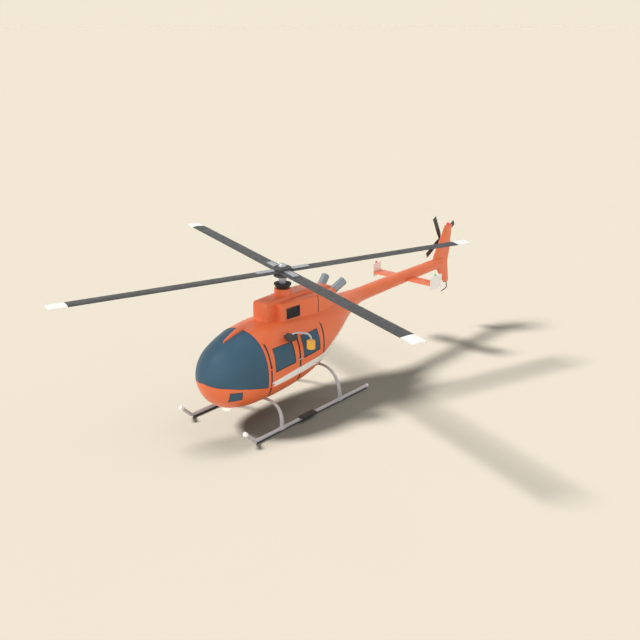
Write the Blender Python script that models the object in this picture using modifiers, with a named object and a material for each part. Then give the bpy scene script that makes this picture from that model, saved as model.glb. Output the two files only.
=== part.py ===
"""A light twin-engined helicopter that stands on two skids.

The nose points to -Y, the port side to +X and the sky to +Z. Every size is in metres.
The sizes below are taken from the rotor mast's axis, and one empty then moves the whole
machine so that the origin lies under the middle of its box, on the ground.
"""
import bpy
import bmesh
from math import atan2, cos, degrees, hypot, pi, radians, sin
from mathutils import Matrix, Vector

# Fits
GAP = 0.0003
SEAM = 0.014
TRIM = 0.008

# Main rotor
ROTOR_RADIUS = 4.92
ROTOR_TURN = radians(-19.82)
BLADE_COUNT = 4
BLADE_CHORD = 0.313
BLADE_THICK = 0.040
BLADE_Z = 3.015
BLADE_EDGE = 0.012
HEAD_RADIUS = 0.19
HEAD_Z = (2.89, 3.10)
MAST_RADIUS = 0.078
MAST_FOOT_Z = 2.3003
MAST_CLEAR = 0.010
CAP_RADIUS = 0.09
CAP_FLAT = 0.05
CAP_HEIGHT = 0.070
GRIP_REACH = (0.15, 0.62)
GRIP_SIZE = (0.14, 0.028)

# Tail rotor, on the starboard side of the fin
TAIL_HUB = Vector((-0.18, 6.38, 2.44))
TAIL_RADIUS = 0.74
TAIL_TURN = radians(28.0)
TAIL_CHORD = 0.15
TAIL_THICK = 0.022
TAIL_HUB_SIZE = (0.055, 0.085)
TAIL_SHAFT = 0.024
TAIL_CLEAR = 0.008

# Fuselage: y, belly z, roof z, half width, z of the widest line, roof exponent, belly exponent
STATIONS = [
    (-2.352, 1.200, 1.200, 0.000, 1.200, 2.0, 2.0),
    (-2.3517, 1.188, 1.213, 0.009, 1.200, 2.0, 2.0),
    (-2.346, 1.120, 1.290, 0.060, 1.200, 2.0, 2.0),
    (-2.290, 0.910, 1.455, 0.260, 1.200, 2.0, 2.0),
    (-2.145, 0.705, 1.645, 0.470, 1.200, 2.0, 2.0),
    (-1.900, 0.545, 1.840, 0.650, 1.180, 2.1, 2.1),
    (-1.550, 0.495, 1.985, 0.750, 1.170, 2.2, 2.3),
    (-1.200, 0.520, 2.070, 0.790, 1.170, 2.3, 2.5),
    (-0.750, 0.555, 2.100, 0.800, 1.190, 2.5, 2.7),
    (-0.300, 0.600, 2.110, 0.800, 1.230, 2.5, 2.7),
    (0.150, 0.660, 2.110, 0.780, 1.300, 2.5, 2.6),
    (0.600, 0.770, 2.100, 0.730, 1.420, 2.5, 2.5),
    (1.000, 0.955, 2.085, 0.650, 1.550, 2.4, 2.4),
    (1.400, 1.180, 2.060, 0.540, 1.660, 2.3, 2.3),
    (1.800, 1.410, 2.030, 0.400, 1.750, 2.2, 2.2),
    (2.200, 1.580, 2.010, 0.280, 1.800, 2.1, 2.1),
    (2.700, 1.663, 2.003, 0.170, 1.833, 2.0, 2.0),
    (3.450, 1.686, 2.014, 0.164, 1.850, 2.0, 2.0),
    (4.300, 1.707, 2.015, 0.154, 1.861, 2.0, 2.0),
    (5.200, 1.725, 2.013, 0.144, 1.869, 2.0, 2.0),
    (5.900, 1.740, 2.014, 0.137, 1.877, 2.0, 2.0),
    (6.180, 1.760, 2.000, 0.120, 1.880, 2.0, 2.0),
    (6.240, 1.820, 1.940, 0.060, 1.880, 2.0, 2.0),
]
NOSE_TIP_Y = STATIONS[0][0]
RING_Y = -1.29
BOOM_ROOT_Y = 2.45
BOOM_END_Y = STATIONS[-1][0]
WALL = 0.040
DOOR_DEPTH = 0.034
BOOM_WALL = 0.012
NOSE_CENTRE = Vector((0.0, RING_Y, 1.18))
NOSE_REACH = 0.95
GLASS_DEPTH = 0.010
CHIN_DEPTH = 0.030
PANE_DEPTH = (0.012, 0.018)

# Chin edge of the windscreen: y, section angle in degrees
CHIN_EDGE = [(-2.352, -9.0), (-2.29, -8.0), (-2.145, -6.0), (-1.90, -6.0), (-1.55, -9.3), (RING_Y, -14.0)]
CHIN_WINDOW_Y = (-2.08, -1.885)
CHIN_WINDOW_Z = (0.845, 1.045)

# Doors: section angles in degrees and seams along y
DOOR_ANGLES = (-33.0, 36.5)
DOOR_SEAMS = (-1.180, -0.345, 0.490)
FRONT_WINDOW = {"y": (-1.075, -0.517), "angle": (2.7, 33.4)}
REAR_WINDOW = {"y": (-0.195, 0.325), "angle": (-1.5, 34.0)}
HINGE_X = 0.797
HINGE_RADIUS = 0.010
HINGE_HEIGHTS = (0.99, 1.37)
KNUCKLE = 0.036
HOOP = {"y": (-0.40, -0.30), "depth": (WALL + GAP, 0.065)}

# Cabin fittings
FLOOR_Z = (0.765, 0.795)
FLOOR_Y = (-1.80, 0.20)
FLOOR_INSET = 0.073
KEEL = {"x": 0.05, "y": (-0.98, -0.72)}
SEAT_X = 0.34
SEAT_WIDTH = 0.46
BENCH_WIDTH = 1.06
# Side outline of a seat, y from the front of the cushion and z from the floor
SEAT_OUTLINE = [(0.00, 0.0), (0.46, 0.0), (0.60, 0.82), (0.50, 0.84), (0.40, 0.36), (0.00, 0.34)]
BENCH_OUTLINE = [(0.00, 0.0), (0.12, 0.0), (0.46, 0.16), (0.60, 0.82), (0.50, 0.84), (0.40, 0.36), (0.00, 0.34)]
SEAT_FRONT_Y = -0.98
BENCH_FRONT_Y = -0.12
PANEL_OUTLINE = [(-1.62, 0.0), (-1.36, 0.0), (-1.36, 0.26), (-1.46, 0.47), (-1.62, 0.44)]
PANEL_WIDTH = 0.66

# Engine cowling, a wide body with a narrower ridge along its middle: y, half width, top z
COWL_WIDE = [
    (-0.422, 0.335, 2.400), (-0.410, 0.352, 2.418), (-0.370, 0.364, 2.425), (0.100, 0.402, 2.430),
    (0.500, 0.452, 2.425), (1.000, 0.420, 2.400), (1.405, 0.320, 2.342), (1.420, 0.305, 2.328),
]
COWL_RIDGE = [
    (-0.710, 0.165, 2.460), (-0.698, 0.188, 2.482), (-0.660, 0.200, 2.490), (-0.300, 0.200, 2.503),
    (0.100, 0.200, 2.510), (0.600, 0.200, 2.510), (1.000, 0.190, 2.485), (1.405, 0.165, 2.388),
    (1.420, 0.150, 2.374),
]
COWL_BASE_Z = 1.80
COWL_EXPONENT = 12.0
COWL_WALL = 0.022
GRILLE = {"x": (0.357, 0.377), "y": (-0.28, 0.08), "z": (2.09, 2.31)}
FAIRING_RADIUS = 0.185
FAIRING_Z = (2.36, 2.64)
BOOT_PROFILE = [(0.19, 0.105), (0.19, 0.085), (0.125, 0.0), (0.092, 0.0), (0.092, 0.105)]
# Engine block seen from the side, y and z
ENGINE_OUTLINE = [(-0.20, 2.1106), (1.15, 2.1106), (1.15, 2.31), (0.35, 2.33), (0.30, 2.30), (-0.20, 2.30)]
ENGINE_WIDTH = 0.56
EXHAUST = {"base": Vector((0.150, 1.33, 2.200)), "end": Vector((0.268, 1.735, 2.454)), "radius": 0.095,
           "wall": 0.008}

# Tail
# Fin outline, y and z, from the root of its leading edge
FIN_OUTLINE = [
    (5.757, 2.036), (6.308, 2.856), (6.616, 2.830), (6.545, 2.130), (6.470, 1.850),
    (6.569, 1.269), (6.356, 1.271), (6.188, 1.469), (5.986, 1.705), (5.80, 1.86),
]
FIN_THICK = 0.070
TAIL_PLANE = {"y": (4.35, 4.76), "z": 1.815, "thick": 0.040, "half_span": 0.90}
END_PLATE = {"x": 0.885, "y": 4.565, "z": (1.69, 2.03), "length": 0.41, "thick": 0.022, "toe": radians(7.6)}
NAV_LIGHT = {"radius": 0.028, "height": 0.055}
BEACON = {"along": 0.48, "radius": 0.048, "height": 0.065}
TAIL_SKID = [(6.487, 1.2691), (6.487, 1.23), (6.500, 1.18), (6.522, 1.13), (6.490, 1.098), (6.261, 1.051)]
TAIL_SKID_RADIUS = 0.014

# Skids
TRACK_X = 0.946
SKID_RADIUS = 0.038
SKID_Z = 0.060
SKID_PATH = [(-2.183, 0.334), (-1.945, 0.130), (-1.895, 0.090), (-1.850, 0.067), (-1.800, SKID_Z), (1.776, SKID_Z)]
SHOE = {"y": (-1.80, 1.72), "width": 0.044, "top": 0.045}
CROSS_RADIUS = 0.030
# Cross tubes: y, z of the level middle, where the bend starts (x), how full the bend is (2 is round)
CROSS_TUBES = {"cross_tube_front": (-1.098, 0.585, 0.46, 3.0), "cross_tube_rear": (0.788, 0.745, 0.40, 2.3)}
CROSS_FOOT_Z = 0.105
SADDLE = {"radius": 0.052, "length": 0.15}
BRACKET = {"x": 0.30, "width": 0.07, "length": 0.10, "top": 0.96}
STEP = {"x": (0.925, 1.065), "y": (-0.58, -0.12), "z": (0.0974, 0.127)}
BELLY_LIGHT = {"y": -1.74, "radius": 0.10, "z": (0.405, 0.60)}

# Windscreen strip: y, half width, height above the glass
STRIP_ROWS = [(-1.255, 0.066, 0.045), (-1.40, 0.054, 0.044), (-1.60, 0.035, 0.036), (-1.775, 0.014, 0.026)]

# Rescue hoist on the port side
HOIST_BOX = {"x": (0.70, 0.865), "y": (-0.70, -0.48), "z": (1.81, 1.925)}
HOIST_LUG = {"x": (0.52, 0.72), "y": (-0.65, -0.53), "z": (1.825, 1.885)}
HOIST_PIVOT = Vector((0.800, -0.580, 1.9253))
HOIST_ARM = [(0.0, 0.0, 0.0), (0.0, 0.0, 0.018), (0.012, 0.03, 0.028), (0.045, 0.12, 0.026), (0.095, 0.25, 0.004),
             (0.130, 0.335, -0.036), (0.146, 0.380, -0.095), (0.150, 0.395, -0.150), (0.150, 0.395, -0.206)]
HOIST_ARM_RADIUS = 0.018
HOIST_FOOT = (0.032, 0.030)
DRUM = {"radius": 0.092, "height": 0.168}

# Colours: red, green, blue, roughness, metallic, alpha
FINISHES = {
    "orange_paint": (0.83, 0.16, 0.05, 0.35, 0.0, 1.0),
    "tinted_glass": (0.07, 0.14, 0.20, 0.08, 0.0, 0.45),
    "white_paint": (0.86, 0.85, 0.82, 0.35, 0.0, 1.0),
    "blade_grey": (0.10, 0.10, 0.11, 0.45, 0.0, 1.0),
    "grey_steel": (0.45, 0.44, 0.45, 0.40, 0.8, 1.0),
    "bright_steel": (0.62, 0.64, 0.68, 0.30, 1.0, 1.0),
    "black_rubber": (0.03, 0.03, 0.03, 0.60, 0.0, 1.0),
    "dark_plastic": (0.06, 0.06, 0.07, 0.55, 0.0, 1.0),
    "seat_cloth": (0.12, 0.13, 0.15, 0.85, 0.0, 1.0),
    "hoist_yellow": (0.95, 0.55, 0.10, 0.40, 0.0, 1.0),
    "red_lens": (0.80, 0.03, 0.05, 0.15, 0.0, 1.0),
    "green_lens": (0.05, 0.75, 0.20, 0.15, 0.0, 1.0),
}
SIDES = {"left": 1.0, "right": -1.0}


def clear_scene():
    for item in list(bpy.data.objects):
        bpy.data.objects.remove(item, do_unlink=True)


def collection(name):
    group = bpy.data.collections.new(name)
    bpy.context.scene.collection.children.link(group)
    return group


def finish(name):
    material = bpy.data.materials.get(name)
    if material is None:
        red, green, blue, roughness, metallic, alpha = FINISHES[name]
        material = bpy.data.materials.new(name)
        material.use_nodes = True
        shader = material.node_tree.nodes["Principled BSDF"]
        shader.inputs["Base Color"].default_value = (red, green, blue, 1.0)
        shader.inputs["Roughness"].default_value = roughness
        shader.inputs["Metallic"].default_value = metallic
        shader.inputs["Alpha"].default_value = alpha
    return material


def tail_reach():
    """The furthest y that a tail blade's corner reaches at rest."""
    reach = []
    for number in range(BLADE_COUNT):
        turn = TAIL_TURN + number * pi / 2
        for side in (-1, 1):
            reach.append(TAIL_RADIUS * cos(turn) - side * TAIL_CHORD / 2 * sin(turn))
    return TAIL_HUB.y + max(reach)


def rotor_reach():
    """The furthest -y that a main blade's corner reaches at rest."""
    reach = []
    for number in range(BLADE_COUNT):
        turn = ROTOR_TURN + number * pi / 2
        for side in (-1, 1):
            reach.append(ROTOR_RADIUS * sin(turn) + side * BLADE_CHORD / 2 * cos(turn))
    return min(reach)


clear_scene()
PARTS = collection("helicopter")
CUTTERS = collection("cutters")
ORIGIN_Y = (rotor_reach() + tail_reach()) / 2
AIRFRAME = bpy.data.objects.new("airframe", None)
AIRFRAME.location = (0.0, -ORIGIN_Y, 0.0)
PARTS.objects.link(AIRFRAME)


def add(name, mesh, material=None, place=(0.0, 0.0, 0.0), parent=None, matrix=None):
    """Link a mesh as a part, or as a cutter when it has no material."""
    item = bpy.data.objects.new(name, mesh)
    item.parent = parent or AIRFRAME
    item.location = place
    if matrix is not None:
        item.matrix_local = matrix
    if material:
        mesh.materials.append(finish(material))
        PARTS.objects.link(item)
    else:
        CUTTERS.objects.link(item)
        item.hide_render = True
        item.display_type = "WIRE"
    return item


def finish_mesh(name, bm, smooth=35.0):
    bmesh.ops.remove_doubles(bm, verts=bm.verts, dist=0.00005)
    bmesh.ops.recalc_face_normals(bm, faces=bm.faces)
    mesh = bpy.data.meshes.new(name)
    bm.to_mesh(mesh)
    bm.free()
    if smooth:
        mesh.shade_smooth()
        mesh.set_sharp_from_angle(angle=radians(smooth))
    return mesh


def boolean(item, tool, operation="DIFFERENCE"):
    cut = item.modifiers.new(operation.lower(), "BOOLEAN")
    cut.operation = operation
    cut.solver = "EXACT"
    cut.object = tool


def box_mesh(name, low, high, bevel=0.0):
    bm = bmesh.new()
    bmesh.ops.create_cube(bm, size=1.0)
    for vert in bm.verts:
        vert.co = Vector([low[k] + (vert.co[k] + 0.5) * (high[k] - low[k]) for k in range(3)])
    if bevel:
        bmesh.ops.bevel(bm, geom=list(bm.edges), offset=bevel, segments=2, profile=0.5, affect="EDGES")
    return finish_mesh(name, bm)


def drum_mesh(name, radius, low, high, axis="Z", segments=32, top_radius=None):
    """A cylinder or cone along one axis, from low to high."""
    bm = bmesh.new()
    top = radius if top_radius is None else top_radius
    bmesh.ops.create_cone(bm, cap_ends=True, segments=segments, radius1=radius, radius2=top, depth=high - low)
    bmesh.ops.translate(bm, verts=bm.verts, vec=(0.0, 0.0, (low + high) / 2))
    turn = {"X": Matrix.Rotation(pi / 2, 3, "Y"), "Y": Matrix.Rotation(-pi / 2, 3, "X"), "Z": Matrix.Identity(3)}
    bmesh.ops.rotate(bm, verts=bm.verts, matrix=turn[axis])
    return finish_mesh(name, bm)


def outline_mesh(name, points, low, high, axis="X"):
    """A flat outline of (y, z) or (x, y) points carried from low to high along one axis."""
    bm = bmesh.new()
    if axis == "X":
        corners = [bm.verts.new((low, a, b)) for a, b in points]
        way = Vector((high - low, 0.0, 0.0))
    else:
        corners = [bm.verts.new((a, b, low)) for a, b in points]
        way = Vector((0.0, 0.0, high - low))
    face = bm.faces.new(corners)
    grown = bmesh.ops.extrude_face_region(bm, geom=[face])
    moved = [item for item in grown["geom"] if isinstance(item, bmesh.types.BMVert)]
    bmesh.ops.translate(bm, verts=moved, vec=way)
    return finish_mesh(name, bm)


def turned(name, profile, segments, material, place=(0.0, 0.0, 0.0), parent=None, matrix=None):
    """A profile of (radius, z) points, from the top down its outer side, turned about Z."""
    bm = bmesh.new()
    corners = [bm.verts.new((r, 0.0, z)) for r, z in profile]
    for near, far in zip(corners, corners[1:]):
        bm.edges.new((near, far))
    if profile[0][0] > 0:
        bm.edges.new((corners[-1], corners[0]))
    mesh = bpy.data.meshes.new(name)
    bm.to_mesh(mesh)
    bm.free()
    item = add(name, mesh, material, place, parent, matrix)
    screw = item.modifiers.new("turn", "SCREW")
    screw.angle = 2 * pi
    screw.steps = segments
    screw.render_steps = segments
    screw.use_merge_vertices = True
    screw.merge_threshold = 0.0001
    return item


def tube_mesh(name, points, radius, resolution=3):
    """A round bar along a path, with filled ends."""
    line = bpy.data.curves.new(name, "CURVE")
    line.dimensions = "3D"
    line.bevel_depth = radius
    line.bevel_resolution = resolution
    line.use_fill_caps = True
    spline = line.splines.new("POLY")
    spline.points.add(len(points) - 1)
    for point, place in zip(spline.points, points):
        point.co = (*place, 1.0)
    holder = bpy.data.objects.new(name, line)
    CUTTERS.objects.link(holder)
    graph = bpy.context.evaluated_depsgraph_get()
    mesh = bpy.data.meshes.new_from_object(holder.evaluated_get(graph))
    bpy.data.objects.remove(holder, do_unlink=True)
    bm = bmesh.new()
    bm.from_mesh(mesh)
    bpy.data.meshes.remove(mesh)
    return finish_mesh(name, bm, 50.0)


def between(low, high, count):
    return [low + (high - low) * k / count for k in range(count + 1)]


def blend(rows, y):
    """Values of a table at y, by a cubic that never overshoots its rows."""
    last = len(rows) - 1
    k = max(0, min(last - 1, sum(1 for row in rows if row[0] <= y) - 1))
    step = rows[k + 1][0] - rows[k][0]
    t = min(1.0, max(0.0, (y - rows[k][0]) / step))
    values = []
    for column in range(1, len(rows[0])):
        def slope(i):
            if i < 0 or i >= last:
                return None
            return (rows[i + 1][column] - rows[i][column]) / (rows[i + 1][0] - rows[i][0])

        def tangent(i):
            before, after = slope(i - 1), slope(i)
            if before is None or after is None:
                return before if after is None else after
            return 0.0 if before * after <= 0 else 2 * before * after / (before + after)

        a, b = rows[k][column], rows[k + 1][column]
        ta, tb = tangent(k) * step, tangent(k + 1) * step
        h = (2 * t ** 3 - 3 * t ** 2 + 1, t ** 3 - 2 * t ** 2 + t, -2 * t ** 3 + 3 * t ** 2, t ** 3 - t ** 2)
        values.append(h[0] * a + h[1] * ta + h[2] * b + h[3] * tb)
    return values


def skin(y, angle, depth=0.0):
    """A point of the fuselage at y and a section angle in degrees, depth under its surface."""
    belly, roof, half, middle, roof_power, belly_power = blend(STATIONS, y)
    c, s = cos(radians(angle)), sin(radians(angle))
    power, height = (roof_power, roof - middle) if s >= 0 else (belly_power, middle - belly)
    across = (half - depth) * abs(c) ** (2 / power)
    up = (height - depth) * abs(s) ** (2 / power)
    return Vector((across if c >= 0 else -across, y, middle + (up if s >= 0 else -up)))


def nose_skin(y, angle, depth=0.0):
    """A point of the nose, whose inner faces are smaller copies about the middle of its ring."""
    return NOSE_CENTRE + (skin(y, angle) - NOSE_CENTRE) * (1 - depth / NOSE_REACH)


def angle_at_height(y, z):
    """The section angle, in degrees, where the belly half of the skin passes a height."""
    belly, _, _, middle, _, power = blend(STATIONS, y)
    ratio = min(1.0, max(0.0, (middle - z) / (middle - belly)))
    s = ratio ** (power / 2)
    return -degrees(atan2(s, (1 - s * s) ** 0.5))


def half_at_height(y, z, depth):
    """Half the width inside the belly at a height, depth under the skin."""
    belly, _, half, middle, _, power = blend(STATIONS, y)
    ratio = (middle - z) / (middle - belly - depth)
    return (half - depth) * (1 - ratio ** power) ** (1 / power)


def panel_mesh(name, rows, angles_at, depths, point=skin, keep=None, loop=False, pole=False):
    """A curved panel with walls at its edges, from an outer depth to an inner one.

    Each row of angles is one section. Cells that keep refuses are left open. With a pole,
    the first row is one point.
    """
    bm = bmesh.new()
    count = len(angles_at(rows[0]))
    columns = count if loop else count - 1
    skins = []
    for k in range(2):
        layer = []
        for y in rows:
            depth = depths(y)[k] if callable(depths) else depths[k]
            layer.append([bm.verts.new(point(y, angle, depth)) for angle in angles_at(y)])
        skins.append(layer)
    used = {}
    for i in range(len(rows) - 1):
        for j in range(columns):
            if keep and not keep(i, j):
                continue
            corners = [(i, j), (i + 1, j), (i + 1, (j + 1) % count), (i, (j + 1) % count)]
            for layer in skins:
                near, side, far, other = (layer[a][b] for a, b in corners)
                bm.faces.new([near, side, far])
                bm.faces.new([near, far, other])
            for a, b in zip(corners, corners[1:] + corners[:1]):
                key = tuple(sorted((a, b)))
                used[key] = used.get(key, 0) + 1
    for (a, b), times in used.items():
        at_pole = pole and a[0] == b[0] == 0
        if times == 1 and not at_pole:
            outer, inner = skins
            bm.faces.new([outer[a[0]][a[1]], outer[b[0]][b[1]], inner[b[0]][b[1]], inner[a[0]][a[1]]])
    loose = [vert for vert in bm.verts if not vert.link_faces]
    bmesh.ops.delete(bm, geom=loose, context="VERTS")
    return finish_mesh(name, bm, 30.0)


def solid_mesh(name, rows, ring):
    """A closed body through the rings of points that ring gives for each row."""
    bm = bmesh.new()
    rings = [[bm.verts.new(place) for place in ring(row)] for row in rows]
    for near, far in zip(rings, rings[1:]):
        for k in range(len(near)):
            after = (k + 1) % len(near)
            bm.faces.new([near[k], near[after], far[after]])
            bm.faces.new([near[k], far[after], far[k]])
    bm.faces.new(rings[0][::-1])
    bm.faces.new(rings[-1])
    return finish_mesh(name, bm, 30.0)


def skin_solid(name, rows, depth, count=28):
    angles = [360.0 * k / count for k in range(count)]
    return solid_mesh(name, rows, lambda y: [skin(y, angle, depth) for angle in angles])


def chin_angle(y):
    return blend(CHIN_EDGE, y)[0]


# Rows of the body that the shell, its cutters and its neighbours share
BODY_ROWS = [RING_Y, DOOR_SEAMS[0], -1.0, -0.7, HOOP["y"][0], HOOP["y"][1], *between(*REAR_WINDOW["y"], 2),
             DOOR_SEAMS[2], 0.7, 0.9, 1.1, 1.3, 1.5, 1.7, 1.95, 2.2, BOOM_ROOT_Y]
NOSE_ROWS = [NOSE_TIP_Y, -2.3517, -2.346, -2.325, -2.29, -2.22, -2.145, CHIN_WINDOW_Y[0], -1.98, CHIN_WINDOW_Y[1],
             -1.75, -1.60, -1.45, RING_Y]
BOOM_ROWS = [BOOM_ROOT_Y, 2.7, 3.1, 3.45, 3.9, 4.3, 4.75, 5.2, 5.6, 5.9, 6.18, BOOM_END_Y]


LOW, HIGH = DOOR_ANGLES
BODY_ANGLES = (between(LOW, HIGH, 7) + between(HIGH, 180 - HIGH, 10)[1:] + between(180 - HIGH, 180 - LOW, 7)[1:]
               + between(180 - LOW, 360 + LOW, 10)[1:-1])
DOOR_COLUMNS = set(range(0, 7)) | set(range(17, 24))


def chin_lines(y):
    """Section angles of the windscreen's edge and of the chin window's top and bottom."""
    edge = chin_angle(y)
    row = max(y, NOSE_ROWS[1])
    top = max(-68.0, min(edge - 2.0, angle_at_height(row, CHIN_WINDOW_Z[1])))
    bottom = max(-78.0, min(top - 6.0, angle_at_height(row, CHIN_WINDOW_Z[0])))
    return edge, top, bottom


def nose_angles(y):
    edge, top, bottom = chin_lines(y)
    right = between(180 - edge, 180 - top, 1)[1:] + between(180 - top, 180 - bottom, 2)[1:]
    under = between(180 - bottom, 360 + bottom, 8)[1:]
    left = between(360 + bottom, 360 + top, 2)[1:]
    return between(edge, 180 - edge, 18) + right + under + left


def build_cutters():
    tools = {}
    tools["skin"] = add("cut_skin", solid_mesh(
        "cut_skin", BODY_ROWS, lambda y: [skin(y, angle, -GAP) for angle in BODY_ANGLES]))
    tools["inside"] = add("cut_inside", solid_mesh(
        "cut_inside", BODY_ROWS, lambda y: [skin(y, angle, WALL + GAP) for angle in BODY_ANGLES]))
    tools["nose"] = add("cut_nose", solid_mesh(
        "cut_nose", NOSE_ROWS[1:], lambda y: [nose_skin(y, angle, -GAP) for angle in nose_angles(y)]))
    tools["boom"] = add("cut_boom", skin_solid("cut_boom", BOOM_ROWS, -GAP))
    tools["boom_inside"] = add("cut_boom_inside", skin_solid(
        "cut_boom_inside", [BOOM_ROOT_Y - 0.05] + BOOM_ROWS[1:-1], BOOM_WALL))
    return tools


def build_shell(tools):
    rows = [RING_Y + GAP] + BODY_ROWS[1:-1] + [BOOM_ROOT_Y - GAP]
    first, last = rows.index(DOOR_SEAMS[0]), rows.index(DOOR_SEAMS[2])

    def keep(i, j):
        return not (first <= i < last and j in DOOR_COLUMNS)

    mesh = panel_mesh("cabin_shell", rows, lambda y: BODY_ANGLES, (0.0, WALL), keep=keep, loop=True)
    shell = add("cabin_shell", mesh, "orange_paint")
    for side, sign in SIDES.items():
        for k, height in enumerate(HINGE_HEIGHTS):
            arm_low = height - KNUCKLE
            arm = box_mesh("hinge_arm", (HINGE_X - 0.05, DOOR_SEAMS[0] - 0.045, arm_low),
                           (HINGE_X, DOOR_SEAMS[0], height - GAP))
            knuckle = drum_mesh("hinge_pin", HINGE_RADIUS, arm_low, height - GAP, segments=24)
            arm_item = add(f"shell_arm_{side}_{k}", arm)
            arm_item.scale = (sign, 1.0, 1.0)
            pin_item = add(f"shell_pin_{side}_{k}", knuckle, place=(sign * HINGE_X, DOOR_SEAMS[0], 0.0))
            boolean(shell, arm_item, "UNION")
            boolean(shell, pin_item, "UNION")
    return shell


def build_nose():
    """The windscreen dome, the chin under it and the two chin windows."""
    def keep(i, j):
        if i == 0:
            return True
        window = i == NOSE_ROWS.index(CHIN_WINDOW_Y[0]) or i == NOSE_ROWS.index(CHIN_WINDOW_Y[0]) + 1
        return j >= 18 and not (window and j in (19, 20, 29, 30))

    chin = panel_mesh("nose_fairing", NOSE_ROWS, nose_angles, (0.0, CHIN_DEPTH), nose_skin, keep, loop=True,
                      pole=True)
    add("nose_fairing", chin, "orange_paint")

    def glass_angles(y):
        half = blend(STATIONS, y)[2]
        edge = chin_angle(y) + degrees(1.3 * GAP / half)
        return between(edge, 180 - edge, 18)

    glass_rows = [NOSE_ROWS[1] + 2 * GAP] + NOSE_ROWS[2:-1] + [RING_Y]
    add("windscreen", panel_mesh("windscreen", glass_rows, glass_angles, (0.0, GLASS_DEPTH), nose_skin),
        "tinted_glass")

    rows = [CHIN_WINDOW_Y[0] + GAP, -1.98, CHIN_WINDOW_Y[1] - GAP]
    for side, sign in SIDES.items():
        def pane_angles(y):
            _, top, bottom = chin_lines(y)
            inset = degrees(1.5 * GAP / blend(STATIONS, y)[2])
            line = between(top - inset, bottom + inset, 2)
            return line if sign > 0 else [180 - angle for angle in line]

        add(f"chin_window_{side}", panel_mesh("chin_window", rows, pane_angles, PANE_DEPTH, nose_skin),
            "tinted_glass")


def door_panel(name, edges, angles, window, side, sign):
    """One door with its window cut, and the pane that stands in it."""
    shared = [y for y in BODY_ROWS if edges[0] < y < edges[1] and not window["y"][0] < y < window["y"][1]]
    y_lines = sorted(set([*edges, *shared] + between(*window["y"], 2)))
    low, high = window["angle"]
    angle_lines = between(angles[0], low, 4) + between(low, high, 3)[1:] + [angles[1]]

    def side_angles(lines):
        return lines if sign > 0 else [180 - angle for angle in lines]

    first, last = y_lines.index(window["y"][0]), y_lines.index(window["y"][1])

    def keep(i, j):
        return not (first <= i < last and 4 <= j < 7)

    mesh = panel_mesh(name, y_lines, lambda y: side_angles(angle_lines), (0.0, DOOR_DEPTH), keep=keep)
    door = add(f"{name}_{side}", mesh, "orange_paint")
    inset = degrees(1.5 * GAP / 0.75)
    pane_rows = between(window["y"][0] + GAP, window["y"][1] - GAP, 2)
    pane_lines = between(low + inset, high - inset, 3)
    pane = panel_mesh("pane", pane_rows, lambda y: side_angles(pane_lines), PANE_DEPTH)
    add(f"{name}_window_{side}", pane, "tinted_glass")
    return door


def build_doors():
    step = degrees(TRIM / 0.85)
    front = (DOOR_SEAMS[0] + SEAM, DOOR_SEAMS[1] - SEAM / 2)
    rear = (DOOR_SEAMS[1] + SEAM / 2, DOOR_SEAMS[2] - SEAM)
    seated = degrees(1.5 * GAP / 0.75)
    for side, sign in SIDES.items():
        door = door_panel("front_door", front, (DOOR_ANGLES[0] + step, DOOR_ANGLES[1] - step),
                          FRONT_WINDOW, side, sign)
        for k, height in enumerate(HINGE_HEIGHTS):
            arm = box_mesh("door_arm", (HINGE_X - 0.045, DOOR_SEAMS[0], height),
                           (HINGE_X, DOOR_SEAMS[0] + 0.045, height + KNUCKLE))
            knuckle = drum_mesh("door_pin", HINGE_RADIUS, height, height + KNUCKLE, segments=24)
            arm_item = add(f"door_arm_{side}_{k}", arm)
            arm_item.scale = (sign, 1.0, 1.0)
            pin_item = add(f"door_pin_{side}_{k}", knuckle, place=(sign * HINGE_X, DOOR_SEAMS[0], 0.0))
            boolean(door, arm_item, "UNION")
            boolean(door, pin_item, "UNION")
        door_panel("rear_door", rear, (DOOR_ANGLES[0] + seated, DOOR_ANGLES[1] - step), REAR_WINDOW, side, sign)


def build_cabin(tools):
    hoop_rows = [HOOP["y"][0], HOOP["y"][1]]
    add("door_hoop", panel_mesh("door_hoop", hoop_rows, lambda y: BODY_ANGLES, HOOP["depth"], loop=True),
        "orange_paint")

    def floor_ring(y):
        low, high = (half_at_height(y, z, FLOOR_INSET) for z in FLOOR_Z)
        return [Vector((-low, y, FLOOR_Z[0])), Vector((low, y, FLOOR_Z[0])),
                Vector((high, y, FLOOR_Z[1])), Vector((-high, y, FLOOR_Z[1]))]

    floor = add("cabin_floor", solid_mesh("cabin_floor", between(*FLOOR_Y, 10), floor_ring), "dark_plastic")
    keel = add("floor_keel", box_mesh("floor_keel", (-KEEL["x"], KEEL["y"][0], 0.4),
                                      (KEEL["x"], KEEL["y"][1], FLOOR_Z[0] + 0.01)))
    boolean(keel, tools["inside"], "INTERSECT")
    boolean(floor, keel, "UNION")

    base = FLOOR_Z[1] + GAP
    seats = {"pilot_seat_left": (SEAT_X, SEAT_WIDTH, SEAT_FRONT_Y, SEAT_OUTLINE),
             "pilot_seat_right": (-SEAT_X, SEAT_WIDTH, SEAT_FRONT_Y, SEAT_OUTLINE),
             "rear_bench": (0.0, BENCH_WIDTH, BENCH_FRONT_Y, BENCH_OUTLINE)}
    for name, (x, width, front, corners) in seats.items():
        outline = [(front + y, base + z) for y, z in corners]
        seat = add(name, outline_mesh(name, outline, x - width / 2, x + width / 2), "seat_cloth")
        edge = seat.modifiers.new("edges", "BEVEL")
        edge.width = 0.03
        edge.segments = 2
    outline = [(y, base + z) for y, z in PANEL_OUTLINE]
    add("instrument_panel", outline_mesh("instrument_panel", outline, -PANEL_WIDTH / 2, PANEL_WIDTH / 2),
        "dark_plastic")


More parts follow.
